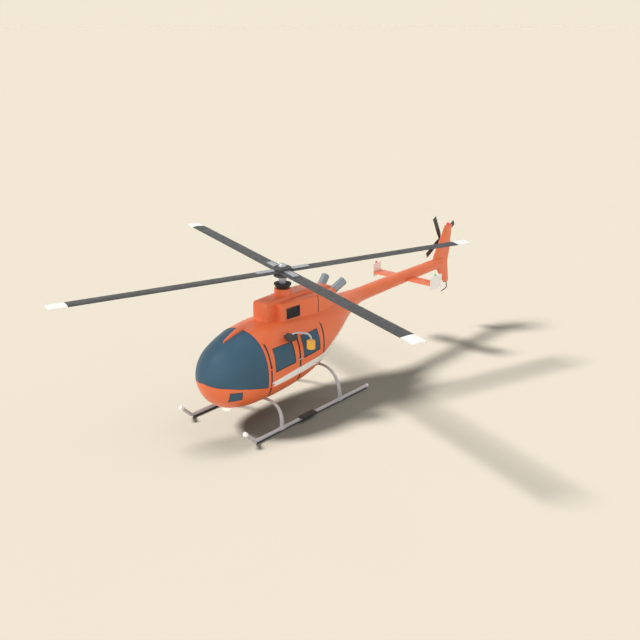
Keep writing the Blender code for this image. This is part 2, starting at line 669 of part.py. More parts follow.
def cowl_ring(row, shrink=0.0):
    y, half, top = row
    height = top - COWL_BASE_Z
    points = []
    for k in range(21):
        c, s = cos(pi * k / 20), sin(pi * k / 20)
        x = (half - shrink) * abs(c) ** (2 / COWL_EXPONENT)
        z = COWL_BASE_Z + (height - shrink) * abs(s) ** (2 / COWL_EXPONENT)
        points.append(Vector((x if c >= 0 else -x, y, z)))
    return points


def build_upper_deck(tools):
    cowl = add("engine_cowling", solid_mesh("engine_cowling", COWL_WIDE, cowl_ring), "orange_paint")
    ridge = add("cowl_ridge", solid_mesh("cowl_ridge", COWL_RIDGE, cowl_ring))
    boolean(cowl, ridge, "UNION")
    outside = []
    for name, rows in (("wide", COWL_WIDE), ("ridge", COWL_RIDGE)):
        inner = [(rows[0][0] + COWL_WALL, *rows[2][1:]), *rows[3:-2], (rows[-1][0] - COWL_WALL, *rows[-2][1:])]
        hollow = solid_mesh("cut_cowl_inside", inner, lambda row: [
            point - Vector((0.0, 0.0, 0.02 if point.z <= COWL_BASE_Z + 0.001 else 0.0))
            for point in cowl_ring(row, COWL_WALL)])
        boolean(cowl, add(f"cut_inside_{name}", hollow))
        outside.append(add(f"cut_outside_{name}", solid_mesh("cut_outside", rows, lambda row: cowl_ring(row, -GAP))))
    boolean(cowl, tools["skin"])
    mast_hole = add("cut_mast", drum_mesh("cut_mast", MAST_RADIUS + MAST_CLEAR, 2.2, 2.9, segments=48))
    boolean(cowl, mast_hole)
    for side, sign in SIDES.items():
        low, high = (GRILLE["x"][0] - 0.06, GRILLE["y"][0], GRILLE["z"][0]), (0.52, GRILLE["y"][1], GRILLE["z"][1])
        pocket = add(f"cut_grille_{side}", box_mesh("cut_grille", low, high))
        pocket.scale = (sign, 1.0, 1.0)
        boolean(cowl, pocket)
        plate_low = (GRILLE["x"][0], GRILLE["y"][0] + GAP, GRILLE["z"][0] + GAP)
        plate_high = (GRILLE["x"][1], GRILLE["y"][1] - GAP, GRILLE["z"][1] - GAP)
        if sign < 0:
            plate_low = (-GRILLE["x"][1], *plate_low[1:])
            plate_high = (-GRILLE["x"][0], *plate_high[1:])
        add(f"intake_grille_{side}", box_mesh("intake_grille", plate_low, plate_high), "dark_plastic")

    fairing = add("mast_fairing", drum_mesh("mast_fairing", FAIRING_RADIUS, *FAIRING_Z, segments=40), "orange_paint")
    for tool in outside:
        boolean(fairing, tool)
    boolean(fairing, mast_hole)
    turned("mast_boot", BOOT_PROFILE, 40, "black_rubber", (0.0, 0.0, FAIRING_Z[1] + GAP))
    add("engine_block", outline_mesh("engine_block", ENGINE_OUTLINE, -ENGINE_WIDTH / 2, ENGINE_WIDTH / 2),
        "grey_steel")

    for side, sign in SIDES.items():
        base, end = (Vector((sign * place.x, place.y, place.z)) for place in (EXHAUST["base"], EXHAUST["end"]))
        turn = Vector((0.0, 0.0, 1.0)).rotation_difference(end - base).to_matrix().to_4x4()
        matrix = Matrix.Translation(base) @ turn
        bore = EXHAUST["radius"] - EXHAUST["wall"]
        outer, length = EXHAUST["radius"], (end - base).length
        turned(f"exhaust_{side}", [(outer, length), (outer, 0.0), (bore, 0.0), (bore, length)], 24, "bright_steel",
               matrix=matrix)
        hole = add(f"cut_exhaust_{side}", drum_mesh("cut_exhaust", EXHAUST["radius"] + GAP * 2, -0.02, 0.5,
                                                    segments=24), matrix=matrix)
        boolean(cowl, hole)


def build_tail(tools):
    boom = add("tail_boom", skin_solid("tail_boom", BOOM_ROWS, 0.0), "orange_paint")
    boolean(boom, tools["boom_inside"])
    plane = TAIL_PLANE
    half_thick = plane["thick"] / 2

    def plane_outline(grow):
        y0, y1 = plane["y"][0] - grow, plane["y"][1] + grow
        z, t = plane["z"], half_thick + grow
        return [(y0, z - t * 0.3), (y0, z + t * 0.3), (y0 + 0.05, z + t), (y0 + 0.22, z + t), (y1, z + t * 0.25),
                (y1, z - t * 0.25), (y0 + 0.22, z - t), (y0 + 0.05, z - t)]

    slot = add("cut_stabiliser", outline_mesh("cut_stabiliser", plane_outline(GAP), -0.4, 0.4))
    boolean(boom, slot)
    stabiliser = add("stabiliser", outline_mesh("stabiliser", plane_outline(0.0), -plane["half_span"],
                                                plane["half_span"]), "orange_paint")
    for side, sign in SIDES.items():
        plate = END_PLATE
        size = (plate["thick"] / 2, plate["length"] / 2)
        mesh = box_mesh("end_plate", (-size[0], -size[1], plate["z"][0]), (size[0], size[1], plate["z"][1]), 0.008)
        matrix = Matrix.Translation((sign * plate["x"], plate["y"], 0.0)) @ Matrix.Rotation(
            -sign * plate["toe"], 4, "Z")
        edges = sorted((-sign * (size[0] + GAP), sign * 0.2))
        trim = box_mesh("cut_tip", (edges[0], -0.4, 1.6), (edges[1], 0.4, 2.1))
        boolean(stabiliser, add(f"cut_tip_{side}", trim, matrix=matrix))
        add(f"end_plate_{side}", mesh, "white_paint", matrix=matrix)
        lens = drum_mesh("nav_light", NAV_LIGHT["radius"], 0.0, NAV_LIGHT["height"], segments=20,
                         top_radius=NAV_LIGHT["radius"] * 0.55)
        place = (matrix.translation.x, plate["y"] - 0.04, plate["z"][1] + GAP)
        add(f"nav_light_{side}", lens, "green_lens" if sign > 0 else "red_lens", place)

    fin = add("tail_fin", outline_mesh("tail_fin", FIN_OUTLINE, -FIN_THICK / 2, FIN_THICK / 2), "orange_paint")
    edge = fin.modifiers.new("edges", "BEVEL")
    edge.width = 0.012
    edge.segments = 2
    boolean(fin, tools["boom"])
    front, back = FIN_OUTLINE[1], FIN_OUTLINE[2]
    slope = (back[1] - front[1]) / (back[0] - front[0])
    y = front[0] + BEACON["along"] * (back[0] - front[0])
    seat = Matrix.Translation((0.0, y, front[1] + slope * (y - front[0]))) @ Matrix.Rotation(atan2(slope, 1), 4, "X")
    add("beacon", drum_mesh("beacon", BEACON["radius"], GAP, BEACON["height"], segments=20,
                            top_radius=BEACON["radius"] * 0.6), "red_lens", matrix=seat)
    skid = [(0.0, y, z) for y, z in TAIL_SKID]
    add("tail_skid", tube_mesh("tail_skid", skid, TAIL_SKID_RADIUS, 2), "grey_steel")
    reach = abs(TAIL_HUB.x) - TAIL_HUB_SIZE[1] / 2 - TAIL_CLEAR
    housing = drum_mesh("tail_gearbox", 0.070, -reach, -FIN_THICK / 2 - GAP, axis="X", segments=32)
    add("tail_gearbox", housing, "dark_plastic", (0.0, TAIL_HUB.y, TAIL_HUB.z))


def arch(y, level, bend, fullness):
    """Half of a cross tube's path, from the end of its level middle out and down to the skid."""
    points = []
    for k in range(13):
        turn = pi / 2 * k / 12
        points.append((bend + (TRACK_X - bend) * sin(turn) ** (2 / fullness), y,
                       CROSS_FOOT_Z + (level - CROSS_FOOT_Z) * abs(cos(turn)) ** (2 / fullness)))
    return points


def build_gear(tools):
    for side, sign in SIDES.items():
        x = sign * TRACK_X
        skid = add(f"skid_{side}", tube_mesh("skid", [(x, y, z) for y, z in SKID_PATH], SKID_RADIUS, 5), "grey_steel")
        half = SHOE["width"] / 2
        shoe = add(f"shoe_{side}", box_mesh("shoe", (x - half, SHOE["y"][0], 0.0), (x + half, SHOE["y"][1], SHOE["top"])))
        boolean(skid, shoe, "UNION")
        low = (min(sign * STEP["x"][0], sign * STEP["x"][1]), STEP["y"][0], STEP["z"][0])
        high = (max(sign * STEP["x"][0], sign * STEP["x"][1]), STEP["y"][1], STEP["z"][1])
        add(f"step_pad_{side}", box_mesh("step_pad", low, high, 0.008), "black_rubber")

    for name, (y, level, bend, fullness) in CROSS_TUBES.items():
        quarter = arch(y, level, bend, fullness)
        quarter[-1] = (TRACK_X, y, SKID_Z + 0.02)
        path = [(-px, py, pz) for px, py, pz in reversed(quarter)] + quarter
        tube = add(name, tube_mesh(name, path, CROSS_RADIUS, 3), "grey_steel")
        for side, sign in SIDES.items():
            x = sign * TRACK_X
            saddle = add(f"{name}_saddle_{side}", drum_mesh("saddle", SADDLE["radius"], -SADDLE["length"] / 2,
                                                            SADDLE["length"] / 2, axis="Y", segments=32),
                         place=(x, y, SKID_Z))
            boolean(tube, saddle, "UNION")
        if name == "cross_tube_rear":
            for side, sign in SIDES.items():
                x = sign * BRACKET["x"]
                block = add(f"{name}_bracket_{side}", box_mesh(
                    "bracket", (x - BRACKET["width"] / 2, y - BRACKET["length"] / 2, level - 0.01),
                    (x + BRACKET["width"] / 2, y + BRACKET["length"] / 2, BRACKET["top"])))
                boolean(tube, block, "UNION")
            boolean(tube, tools["skin"])
        for side, sign in SIDES.items():
            x = sign * TRACK_X
            bar = add(f"{name}_cut_{side}", drum_mesh("cut_bar", SKID_RADIUS + 2 * GAP, -0.2, 0.2, axis="Y",
                                                      segments=48), place=(x, y, SKID_Z))
            under = add(f"{name}_under_{side}", box_mesh("cut_under", (x - 0.1, y - 0.2, -0.1),
                                                         (x + 0.1, y + 0.2, SKID_Z - 0.004)))
            boolean(tube, bar)
            boolean(tube, under)
    ends = arch(*CROSS_TUBES["cross_tube_front"])[:8]
    path = [(-a, b, c) for a, b, c in reversed(ends)] + ends
    passage = add("cut_cross_tube", tube_mesh("cut_cross_tube", path, CROSS_RADIUS + 3 * GAP, 3))
    boolean(bpy.data.objects["cabin_shell"], passage)

    lamp = BELLY_LIGHT
    light = add("belly_light", drum_mesh("belly_light", lamp["radius"], *lamp["z"], segments=28), "white_paint",
                (0.0, lamp["y"], 0.0))
    boolean(light, tools["nose"])


def build_strip():
    rows_up = sorted(STRIP_ROWS)

    def angles(y):
        half = blend(rows_up, y)[0]
        spread = degrees(half / 0.9)
        return between(90 - spread, 90 + spread, 4)

    def heights(y):
        return (-blend(rows_up, y)[1], -GAP * 1.5)

    rows = between(rows_up[0][0], rows_up[-1][0], 8)
    add("windscreen_strip", panel_mesh("windscreen_strip", rows, angles, heights), "orange_paint")


def build_hoist(tools):
    box = HOIST_BOX
    low, high = zip(box["x"], box["y"], box["z"])
    base = add("hoist_base", box_mesh("hoist_base", low, high, 0.012), "dark_plastic")
    lug_low, lug_high = zip(HOIST_LUG["x"], HOIST_LUG["y"], HOIST_LUG["z"])
    boolean(base, add("hoist_lug", box_mesh("hoist_lug", lug_low, lug_high)), "UNION")
    boolean(base, tools["skin"])
    pivot = bpy.data.objects.new("hoist_pivot", None)
    pivot.parent = AIRFRAME
    pivot.location = HOIST_PIVOT
    PARTS.objects.link(pivot)
    arm = add("hoist_arm", tube_mesh("hoist_arm", HOIST_ARM, HOIST_ARM_RADIUS, 3), "bright_steel", parent=pivot)
    foot = add("hoist_foot", drum_mesh("hoist_foot", HOIST_FOOT[0], 0.0, HOIST_FOOT[1], segments=24), parent=pivot)
    boolean(arm, foot, "UNION")
    end = HOIST_ARM[-1]
    top = end[2] - GAP
    drum = drum_mesh("hoist_drum", DRUM["radius"], top - DRUM["height"], top, segments=32)
    add("hoist_drum", drum, "hoist_yellow", (end[0], end[1], 0.0), parent=pivot)


def blade_section(chord, thick, edge):
    """Corners of a flat blade with bevelled edges, across it and up."""
    half, rise = chord / 2, thick / 2
    return [(-half, -rise * 0.3), (-half + edge * 2, -rise), (half - edge * 3, -rise), (half, -rise * 0.2),
            (half, rise * 0.2), (half - edge * 3, rise), (-half + edge * 2, rise), (-half, rise * 0.3)]


def build_main_rotor():
    mast = bpy.data.objects.new("rotor_axis", None)
    mast.parent = AIRFRAME
    mast.location = (0.0, 0.0, 0.0)
    PARTS.objects.link(mast)
    add("rotor_mast", drum_mesh("rotor_mast", MAST_RADIUS, MAST_FOOT_Z, HEAD_Z[0] - GAP, segments=32),
        "bright_steel", parent=mast)
    head = add("rotor_head", drum_mesh("rotor_head", HEAD_RADIUS, *HEAD_Z, segments=32), "blade_grey", parent=mast)
    head.rotation_euler = (0.0, 0.0, ROTOR_TURN)
    cap = [(0.0, CAP_HEIGHT), (CAP_FLAT, CAP_HEIGHT), (CAP_RADIUS * 0.9, CAP_HEIGHT * 0.6),
           (CAP_RADIUS, 0.0), (0.0, 0.0)]
    turned("rotor_cap", cap, 32, "bright_steel", (0.0, 0.0, HEAD_Z[1] + GAP), mast)
    section = blade_section(BLADE_CHORD, BLADE_THICK, BLADE_EDGE)
    hub = add("cut_head", drum_mesh("cut_head", HEAD_RADIUS + GAP, 2.5, 3.4, segments=32), parent=mast)
    hub.rotation_euler = (0.0, 0.0, ROTOR_TURN)
    for number in range(BLADE_COUNT):
        turn = ROTOR_TURN + number * pi / 2
        rows = [HEAD_RADIUS - 0.03, 1.2, 2.6, 4.0, ROTOR_RADIUS]
        mesh = solid_mesh("rotor_blade", rows, lambda r: [Vector((r, a, BLADE_Z + b)) for a, b in section])
        blade = add(f"rotor_blade_{number + 1}", mesh, "blade_grey", parent=mast)
        blade.rotation_euler = (0.0, 0.0, turn)
        boolean(blade, hub)
        top = BLADE_Z + BLADE_THICK / 2 + GAP
        grip = box_mesh("blade_grip", (GRIP_REACH[0], -GRIP_SIZE[0] / 2, top),
                        (GRIP_REACH[1], GRIP_SIZE[0] / 2, top + GRIP_SIZE[1]), 0.006)
        plate = add(f"blade_grip_{number + 1}", grip, "bright_steel", parent=mast)
        plate.rotation_euler = (0.0, 0.0, turn)
        boolean(plate, hub)


def build_tail_rotor():
    axis = bpy.data.objects.new("tail_rotor_axis", None)
    axis.parent = AIRFRAME
    axis.location = TAIL_HUB
    axis.rotation_euler = (TAIL_TURN, 0.0, 0.0)
    PARTS.objects.link(axis)
    radius, length = TAIL_HUB_SIZE
    rotor = add("tail_rotor", drum_mesh("tail_rotor", radius, -length / 2, length / 2, axis="X", segments=32),
                "blade_grey", parent=axis)
    shaft = add("tail_shaft", drum_mesh("tail_shaft", TAIL_SHAFT, 0.0, length / 2 + TAIL_CLEAR - GAP, axis="X",
                                        segments=20), parent=axis)
    boolean(rotor, shaft, "UNION")
    section = blade_section(TAIL_CHORD, TAIL_THICK, 0.006)
    for number in range(BLADE_COUNT):
        mesh = solid_mesh("tail_blade", [radius * 0.6, 0.3, TAIL_RADIUS],
                          lambda r: [Vector((b, r, a)) for a, b in section])
        blade = add(f"tail_blade_{number + 1}", mesh, parent=axis)
        blade.rotation_euler = (number * pi / 2, 0.0, 0.0)
        boolean(rotor, blade, "UNION")


def main():
    tools = build_cutters()
    build_shell(tools)
    build_nose()
    build_doors()
    build_cabin(tools)
    build_upper_deck(tools)
    build_tail(tools)
    build_gear(tools)
    build_strip()
    build_hoist(tools)
    build_main_rotor()
    build_tail_rotor()


main()
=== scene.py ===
"""A light twin-engined helicopter on two skids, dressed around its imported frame.

The nose points to -Y, the port side to +X and the sky to +Z. Sizes are in metres and are
taken from the rotor mast's axis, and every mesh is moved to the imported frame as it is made.
"""

import logging
from dataclasses import dataclass, field
from enum import Enum
from math import atan2, cos, pi, radians, sin, tan
from typing import Optional, Sequence

import bpy
import numpy as np
from mathutils import Euler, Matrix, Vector


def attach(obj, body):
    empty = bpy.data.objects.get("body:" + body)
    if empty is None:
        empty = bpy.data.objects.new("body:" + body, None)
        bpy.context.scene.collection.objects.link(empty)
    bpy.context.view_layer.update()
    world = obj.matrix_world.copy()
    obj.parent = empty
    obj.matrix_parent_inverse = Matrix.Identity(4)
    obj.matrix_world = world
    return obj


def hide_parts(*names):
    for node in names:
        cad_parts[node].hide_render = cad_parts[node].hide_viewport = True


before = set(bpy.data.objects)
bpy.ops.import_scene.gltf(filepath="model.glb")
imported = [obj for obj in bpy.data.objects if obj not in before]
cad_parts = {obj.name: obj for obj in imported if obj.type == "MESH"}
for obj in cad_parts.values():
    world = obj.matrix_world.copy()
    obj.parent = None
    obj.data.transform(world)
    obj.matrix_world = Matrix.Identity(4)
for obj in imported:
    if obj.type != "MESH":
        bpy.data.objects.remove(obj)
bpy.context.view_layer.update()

Array = np.ndarray
Numbers = Sequence[float]
Pair = tuple[float, float]
Triple = tuple[float, float, float]
Rows = Sequence[Numbers]
Socket = bpy.types.NodeSocket

LOG = logging.getLogger("helicopter")
MAST = np.array((0.0, -1.19349, 0.0))
UP = np.array((0.0, 0.0, 1.0))
ACROSS = np.array((1.0, 0.0, 0.0))
ALONG = np.array((0.0, 1.0, 0.0))
# the radius at which a turned profile stops short of its axis
CORE = 0.0005
# marks that a mesh carries on its points for its finish to read
STRIPE = "stripe"
TIP = "tip"
SOOT = "soot"
# the seam mark paints shade: dark bands on the paint beside the door gaps and behind the front windows
SEAM_SHADE = "seam"
# half the distance over which a painted edge and a white tip fade out
PAINT_EDGE = 0.0015
TIP_EDGE = 0.001
# colours that several finishes share
BAND_WHITE = (0.90, 0.89, 0.86)
TIP_WHITE = (0.94, 0.935, 0.92)
BROWN_DUST = (0.45, 0.38, 0.30)
GREY_DUST = (0.36, 0.34, 0.31)
SOOT_BLACK = (0.03, 0.026, 0.024)


class Body(Enum):
    """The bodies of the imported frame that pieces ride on."""

    AIRFRAME = "airframe"
    ROTOR = "main_rotor"
    TAIL_ROTOR = "tail_rotor_body"
    DOOR_LEFT = "door_left"
    DOOR_RIGHT = "door_right"
    HOIST = "hoist"


class Side(Enum):
    """Port is left and +X, starboard is right and -X."""

    LEFT = 1.0
    RIGHT = -1.0

    @property
    def word(self) -> str:
        """The side's name as the frame's nodes spell it."""
        return self.name.lower()

    @property
    def door(self) -> Body:
        """The body of this side's hinged front door."""
        return Body.DOOR_LEFT if self is Side.LEFT else Body.DOOR_RIGHT


# --------------------------------------------------------------------------- forms


@dataclass
class Form:
    """A mesh in the making: points, faces of four and three corners, and marks on the points."""

    points: Array
    quads: Array = field(default_factory=lambda: np.empty((0, 4), int))
    tris: Array = field(default_factory=lambda: np.empty((0, 3), int))
    marks: dict[str, Array] = field(default_factory=dict)

    def moved(self, shift: Numbers) -> "Form":
        """A copy of the form carried by a shift."""
        return Form(self.points + np.asarray(shift, float), self.quads, self.tris, dict(self.marks))

    def turned(self, angle: float, axis: Array, centre: Numbers = (0.0, 0.0, 0.0)) -> "Form":
        """A copy turned about a line, by the cosine, the sine and the part along the line.

        Args:
            angle: The turn in radians.
            axis: The line's unit direction.
            centre: A point of the line.

        Returns:
            The turned form.
        """
        middle = np.asarray(centre, float)
        arm = self.points - middle
        cosine, sine = cos(angle), sin(angle)
        spun = arm * cosine + np.cross(axis, arm) * sine + np.outer(arm @ axis, axis) * (1 - cosine)
        return Form(spun + middle, self.quads, self.tris, dict(self.marks))

    def placed(self, side: "Side") -> "Form":
        """The form itself for the port side, or its mirror image with its faces turned round.

        Args:
            side: The side that it is for.

        Returns:
            The form on that side.
        """
        if side is Side.LEFT:
            return self
        flip = self.points * np.array((-1.0, 1.0, 1.0))
        return Form(flip, self.quads[:, ::-1], self.tris[:, ::-1], dict(self.marks))

    def marked(self, name: str, values: Array) -> "Form":
        """A copy that carries one more number on each point."""
        return Form(self.points, self.quads, self.tris, {**self.marks, name: values})

    def outward(self) -> "Form":
        """The form with its faces looking out, from the sign of the volume that they enclose."""
        middle = self.points.mean(axis=0)
        volume = 0.0
        for corners in (self.quads[:, [0, 1, 2]], self.quads[:, [0, 2, 3]], self.tris):
            a, b, c = (self.points[corners[:, k]] - middle for k in range(3))
            volume += float(np.einsum("ij,ij->", a, np.cross(b, c)))
        if volume >= 0:
            return self
        return Form(self.points, self.quads[:, ::-1], self.tris[:, ::-1], dict(self.marks))


def circle(count: int) -> Array:
    """Angles evenly spaced round a full turn."""
    return np.linspace(0.0, 2 * pi, count, endpoint=False)


def quarter(count: int) -> Array:
    """Angles from nothing to a quarter turn, both ends included."""
    return np.linspace(0.0, pi / 2, count)


def unit(vectors: Array) -> Array:
    """Vectors brought to a length of one."""
    return vectors / np.linalg.norm(vectors, axis=-1, keepdims=True)


def cubic(t: Array, step: Array, ends: tuple[Array, Array], slopes: tuple[Array, Array]) -> Array:
    """A cubic between two values with a slope at each end, where t runs from 0 to 1 over the step."""
    return ((2 * t ** 3 - 3 * t ** 2 + 1) * ends[0] + (t ** 3 - 2 * t ** 2 + t) * step * slopes[0]
            + (3 * t ** 2 - 2 * t ** 3) * ends[1] + (t ** 3 - t ** 2) * step * slopes[1])


def joined(forms: Sequence[Form]) -> Form:
    """Several forms as one, with each point keeping its marks and a mark that it lacks set to -1.

    Args:
        forms: The forms to put together.

    Returns:
        One form.
    """
    names = {name for form in forms for name in form.marks}
    starts = np.cumsum([0] + [len(form.points) for form in forms])
    return Form(
        np.concatenate([form.points for form in forms]),
        np.concatenate([form.quads + start for form, start in zip(forms, starts)]),
        np.concatenate([form.tris + start for form, start in zip(forms, starts)]),
        {name: np.concatenate([form.marks.get(name, np.full(len(form.points), -1.0)) for form in forms])
         for name in names},
    )


def grid_quads(rows: int, columns: int, wrap: bool = False, keep: Optional[Array] = None,
               loop: bool = False) -> Array:
    """Faces of a grid of points that are numbered row by row.

    Args:
        rows: Number of rows.
        columns: Number of points in a row.
        wrap: Whether the last column joins the first.
        keep: Cells that are made, as a table of truths with a row for each row of cells.
        loop: Whether the last row joins the first.

    Returns:
        The corners of each cell.
    """
    first = np.arange(rows if loop else rows - 1)
    across = np.arange(columns if wrap else columns - 1)
    a, b = np.meshgrid(first, across, indexing="ij")
    if keep is not None:
        a, b = a[keep], b[keep]
    a, b = a.ravel(), b.ravel()
    after, beside = (a + 1) % rows, (b + 1) % columns
    return np.stack([a * columns + b, a * columns + beside, after * columns + beside, after * columns + b], 1)


def panel(outer: Array, inner: Array, keep: Optional[Array] = None, wrap: bool = False,
          capped: bool = False) -> Form:
    """A closed panel between two skins, with a wall along each edge that only one cell has.

    Args:
        outer: Outer skin as a grid of points, rows by columns by three.
        inner: Inner skin on the same grid.
        keep: Cells that are made.
        wrap: Whether the last column joins the first.
        capped: Whether the first row is a small ring that one fan closes in each skin.

    Returns:
        The panel, with unused points left out.
    """
    rows, columns = outer.shape[:2]
    count = rows * columns
    quads = grid_quads(rows, columns, wrap, keep)
    edges = np.concatenate([quads[:, [k, (k + 1) % 4]] for k in range(4)])
    low, high = edges.min(axis=1), edges.max(axis=1)
    _, index, times = np.unique(low * count + high, return_index=True, return_counts=True)
    rim = edges[index[times == 1]]
    points = np.concatenate([outer.reshape(-1, 3), inner.reshape(-1, 3)])
    tris = np.empty((0, 3), int)
    if capped:
        rim = rim[(rim >= columns).any(axis=1)]
        points = np.concatenate([points, outer[:1].mean(axis=1), inner[:1].mean(axis=1)])
        a = np.arange(columns)
        b = (a + 1) % columns
        pole = np.full(columns, 2 * count)
        tris = np.concatenate([np.stack([b, a, pole], 1), np.stack([a + count, b + count, pole + 1], 1)])
    walls = np.stack([rim[:, 1], rim[:, 0], rim[:, 0] + count, rim[:, 1] + count], 1)
    quads = np.concatenate([quads, quads[:, ::-1] + count, walls])
    used = np.unique(np.concatenate([quads.ravel(), tris.ravel()]))
    renumber = np.zeros(len(points), int)
    renumber[used] = np.arange(len(used))
    return Form(points[used], renumber[quads], renumber[tris]).outward()


def loft(rings: Array, loop: bool = False, bulge: float = 0.0) -> Form:
    """A closed body through rings of points, its ends closed by fans about their middles.

    Args:
        rings: Rings as rows by columns by three.
        loop: Whether the last ring joins the first, as in a tube with a bore.
        bulge: How far the fans' middles stand out from the end rings.

    Returns:
        The body with its faces outwards.
    """
    rows, columns = rings.shape[:2]
    quads = grid_quads(rows, columns, wrap=True, loop=loop)
    points = rings.reshape(-1, 3)
    if loop:
        return Form(points, quads).outward()
    ends = np.stack([rings[0].mean(axis=0), rings[-1].mean(axis=0)])
    way = ends[1] - rings[-2].mean(axis=0), ends[0] - rings[1].mean(axis=0)
    ends[1] += bulge * way[0] / (np.linalg.norm(way[0]) + 1e-12)
    ends[0] += bulge * way[1] / (np.linalg.norm(way[1]) + 1e-12)
    a = np.arange(columns)
    b = (a + 1) % columns
    last = (rows - 1) * columns
    tris = np.concatenate([np.stack([b, a, np.full(columns, len(points))], 1),
                           np.stack([a + last, b + last, np.full(columns, len(points) + 1)], 1)])
    return Form(np.concatenate([points, ends]), quads, tris).outward()


def lines(stops: Numbers, step: float) -> Array:
    """Values from the first stop to the last, evenly spaced between stops and about a step apart."""
    parts = [np.linspace(a, b, max(1, round(abs(b - a) / step)) + 1)[:-1] for a, b in zip(stops, stops[1:])]
    return np.concatenate([*parts, [stops[-1]]])


def around_hole(outer: Array, hole: Array, step_a: float, step_b: float
                ) -> tuple[Array, Array, Array]:
    """A grid between a four-cornered outline and a four-cornered hole in it, over two coordinates a and b.

    Rows run from the outline over the hole's two sides to the outline again, and so do columns, so the
    grid's lines follow the hole's edges and stay straight beyond them.

    Args:
        outer: The outline's corners as two by two by two: low or high a, low or high b, and (a, b).
        hole: The hole's corners in the same order.
        step_a: About how far apart the rows are.
        step_b: About how far apart the columns are.

    Returns:
        The grid of a, the grid of b, and the cells that are not in the hole.
    """
    stops = [0.0, 1.0, 2.0, 3.0]
    size = [[hole[0, 0, k] - outer[0, 0, k], hole[1, 1, k] - hole[0, 0, k], outer[1, 1, k] - hole[1, 1, k]]
            for k in range(2)]
    rows, columns = (np.concatenate([np.linspace(stop, stop + 1.0, max(1, round(abs(part) / step)) + 1)[:-1]
                                     for stop, part in zip(stops, parts)] + [[3.0]])
                     for parts, step in zip(size, (step_a, step_b)))
    along, across = rows[:, None], columns[None]
    slide = np.clip(np.broadcast_to(across, (len(rows), len(columns))) - 1.0, 0.0, 1.0)
    climb = np.clip(np.broadcast_to(along, (len(rows), len(columns))) - 1.0, 0.0, 1.0)
    lines_a = [quad[k, 0, 0] * (1 - slide) + quad[k, 1, 0] * slide for quad, k in
               ((outer, 0), (hole, 0), (hole, 1), (outer, 1))]
    lines_b = [quad[0, k, 1] * (1 - climb) + quad[1, k, 1] * climb for quad, k in
               ((outer, 0), (hole, 0), (hole, 1), (outer, 1))]
    grids = []
    for way, table in ((along, lines_a), (across, lines_b)):
        share = [np.clip(1 - np.abs(way - stop), 0.0, 1.0) for stop in stops]
        grids.append(sum(part * line for part, line in zip(share, table)))
    inside = (along[:-1] > 0.999) & (along[:-1] < 1.999) & (across[:, :-1] > 0.999) & (across[:, :-1] < 1.999)
    return grids[0], grids[1], ~inside


def corners_of(a: Numbers, b: Numbers) -> Array:
    """A rectangle's corners for a grid round a hole, from its range of a and its range of b."""
    return np.array([[(a[0], b[0]), (a[0], b[1])], [(a[1], b[0]), (a[1], b[1])]])


def eased(points: Rows, setback: float, steps: int = 4, closed: bool = False) -> Array:
    """A line with its corners rounded, each as a quadratic curve between two points set back from it.

    Args:
        points: Corners of the line.
        setback: Distance from a corner at which its curve starts, at most 0.45 of each side.
        steps: Number of pieces in a curve.
        closed: Whether the last point joins the first.

    Returns:
        The rounded line's points.
    """
    p = np.asarray(points, float)
    before, after = np.roll(p, 1, axis=0), np.roll(p, -1, axis=0)
    back, ahead = before - p, after - p
    span = np.linalg.norm(back, axis=1)[:, None], np.linalg.norm(ahead, axis=1)[:, None]
    start = p + back / (span[0] + 1e-12) * np.minimum(setback, 0.45 * span[0])
    end = p + ahead / (span[1] + 1e-12) * np.minimum(setback, 0.45 * span[1])
    t = np.linspace(0.0, 1.0, steps + 1)[None, :, None]
    curve = (1 - t) ** 2 * start[:, None] + 2 * t * (1 - t) * p[:, None] + t ** 2 * end[:, None]
    if closed:
        return curve.reshape(-1, p.shape[1])
    return np.concatenate([p[:1], curve[1:-1].reshape(-1, p.shape[1]), p[-1:]])


def curve_through(points: Rows, count: int) -> Array:
    """A cubic curve through points, with each slope taken from the neighbours on both sides.

    Args:
        points: Points of the path.
        count: Number of points returned, evenly spaced along it.

    Returns:
        Points of the curve.
    """
    p = np.asarray(points, float)
    step = np.linalg.norm(np.diff(p, axis=0), axis=1)
    s = np.concatenate([[0.0], np.cumsum(step)])
    slope = np.gradient(p, s, axis=0)
    at = np.linspace(0.0, s[-1], count)
    k = np.clip(np.searchsorted(s, at, side="right") - 1, 0, len(step) - 1)
    h = step[k][:, None]
    return cubic((at - s[k])[:, None] / h, h, (p[k], p[k + 1]), (slope[k], slope[k + 1]))


def pipe(path: Array, radius: float, normal: Array, sides: int = 20, edge: float = 0.004,
         squash: object = 1.0) -> Form:
    """A round bar along a path in a plane: centre + radius (cos a normal + sin a side), ends eased.

    Args:
        path: Points of the centre line.
        radius: The bar's radius.
        normal: The normal of the path's plane.
        sides: Points round the bar.
        edge: Radius of the rounding at its two ends.
        squash: Its size along the normal as a share of its size across, once or for each point.

    Returns:
        The closed bar.
    """
    path = np.asarray(path, float)
    reach = np.concatenate([[0.0], np.cumsum(np.linalg.norm(np.diff(path, axis=0), axis=1))])
    ease = quarter(5)
    head = edge * (1 - np.cos(ease))
    inside = reach[(reach > edge * 1.2) & (reach < reach[-1] - edge * 1.2)]
    at = np.concatenate([head, inside, (reach[-1] - head)[::-1]])
    size = np.concatenate([radius - edge + edge * np.sin(ease), np.full(len(inside), radius),
                           (radius - edge + edge * np.sin(ease))[::-1]])
    centre = np.stack([np.interp(at, reach, path[:, k]) for k in range(3)], 1)
    wide = np.interp(at, reach, np.broadcast_to(squash, len(path)))[:, None, None]
    side = unit(np.cross(unit(np.gradient(centre, at + np.arange(len(at)) * 1e-9, axis=0)), normal))
    turn = circle(sides)[None, :, None]
    rings = centre[:, None] + size[:, None, None] * (
        wide * np.cos(turn) * np.asarray(normal)[None, None] + np.sin(turn) * side[:, None])
    return loft(rings)


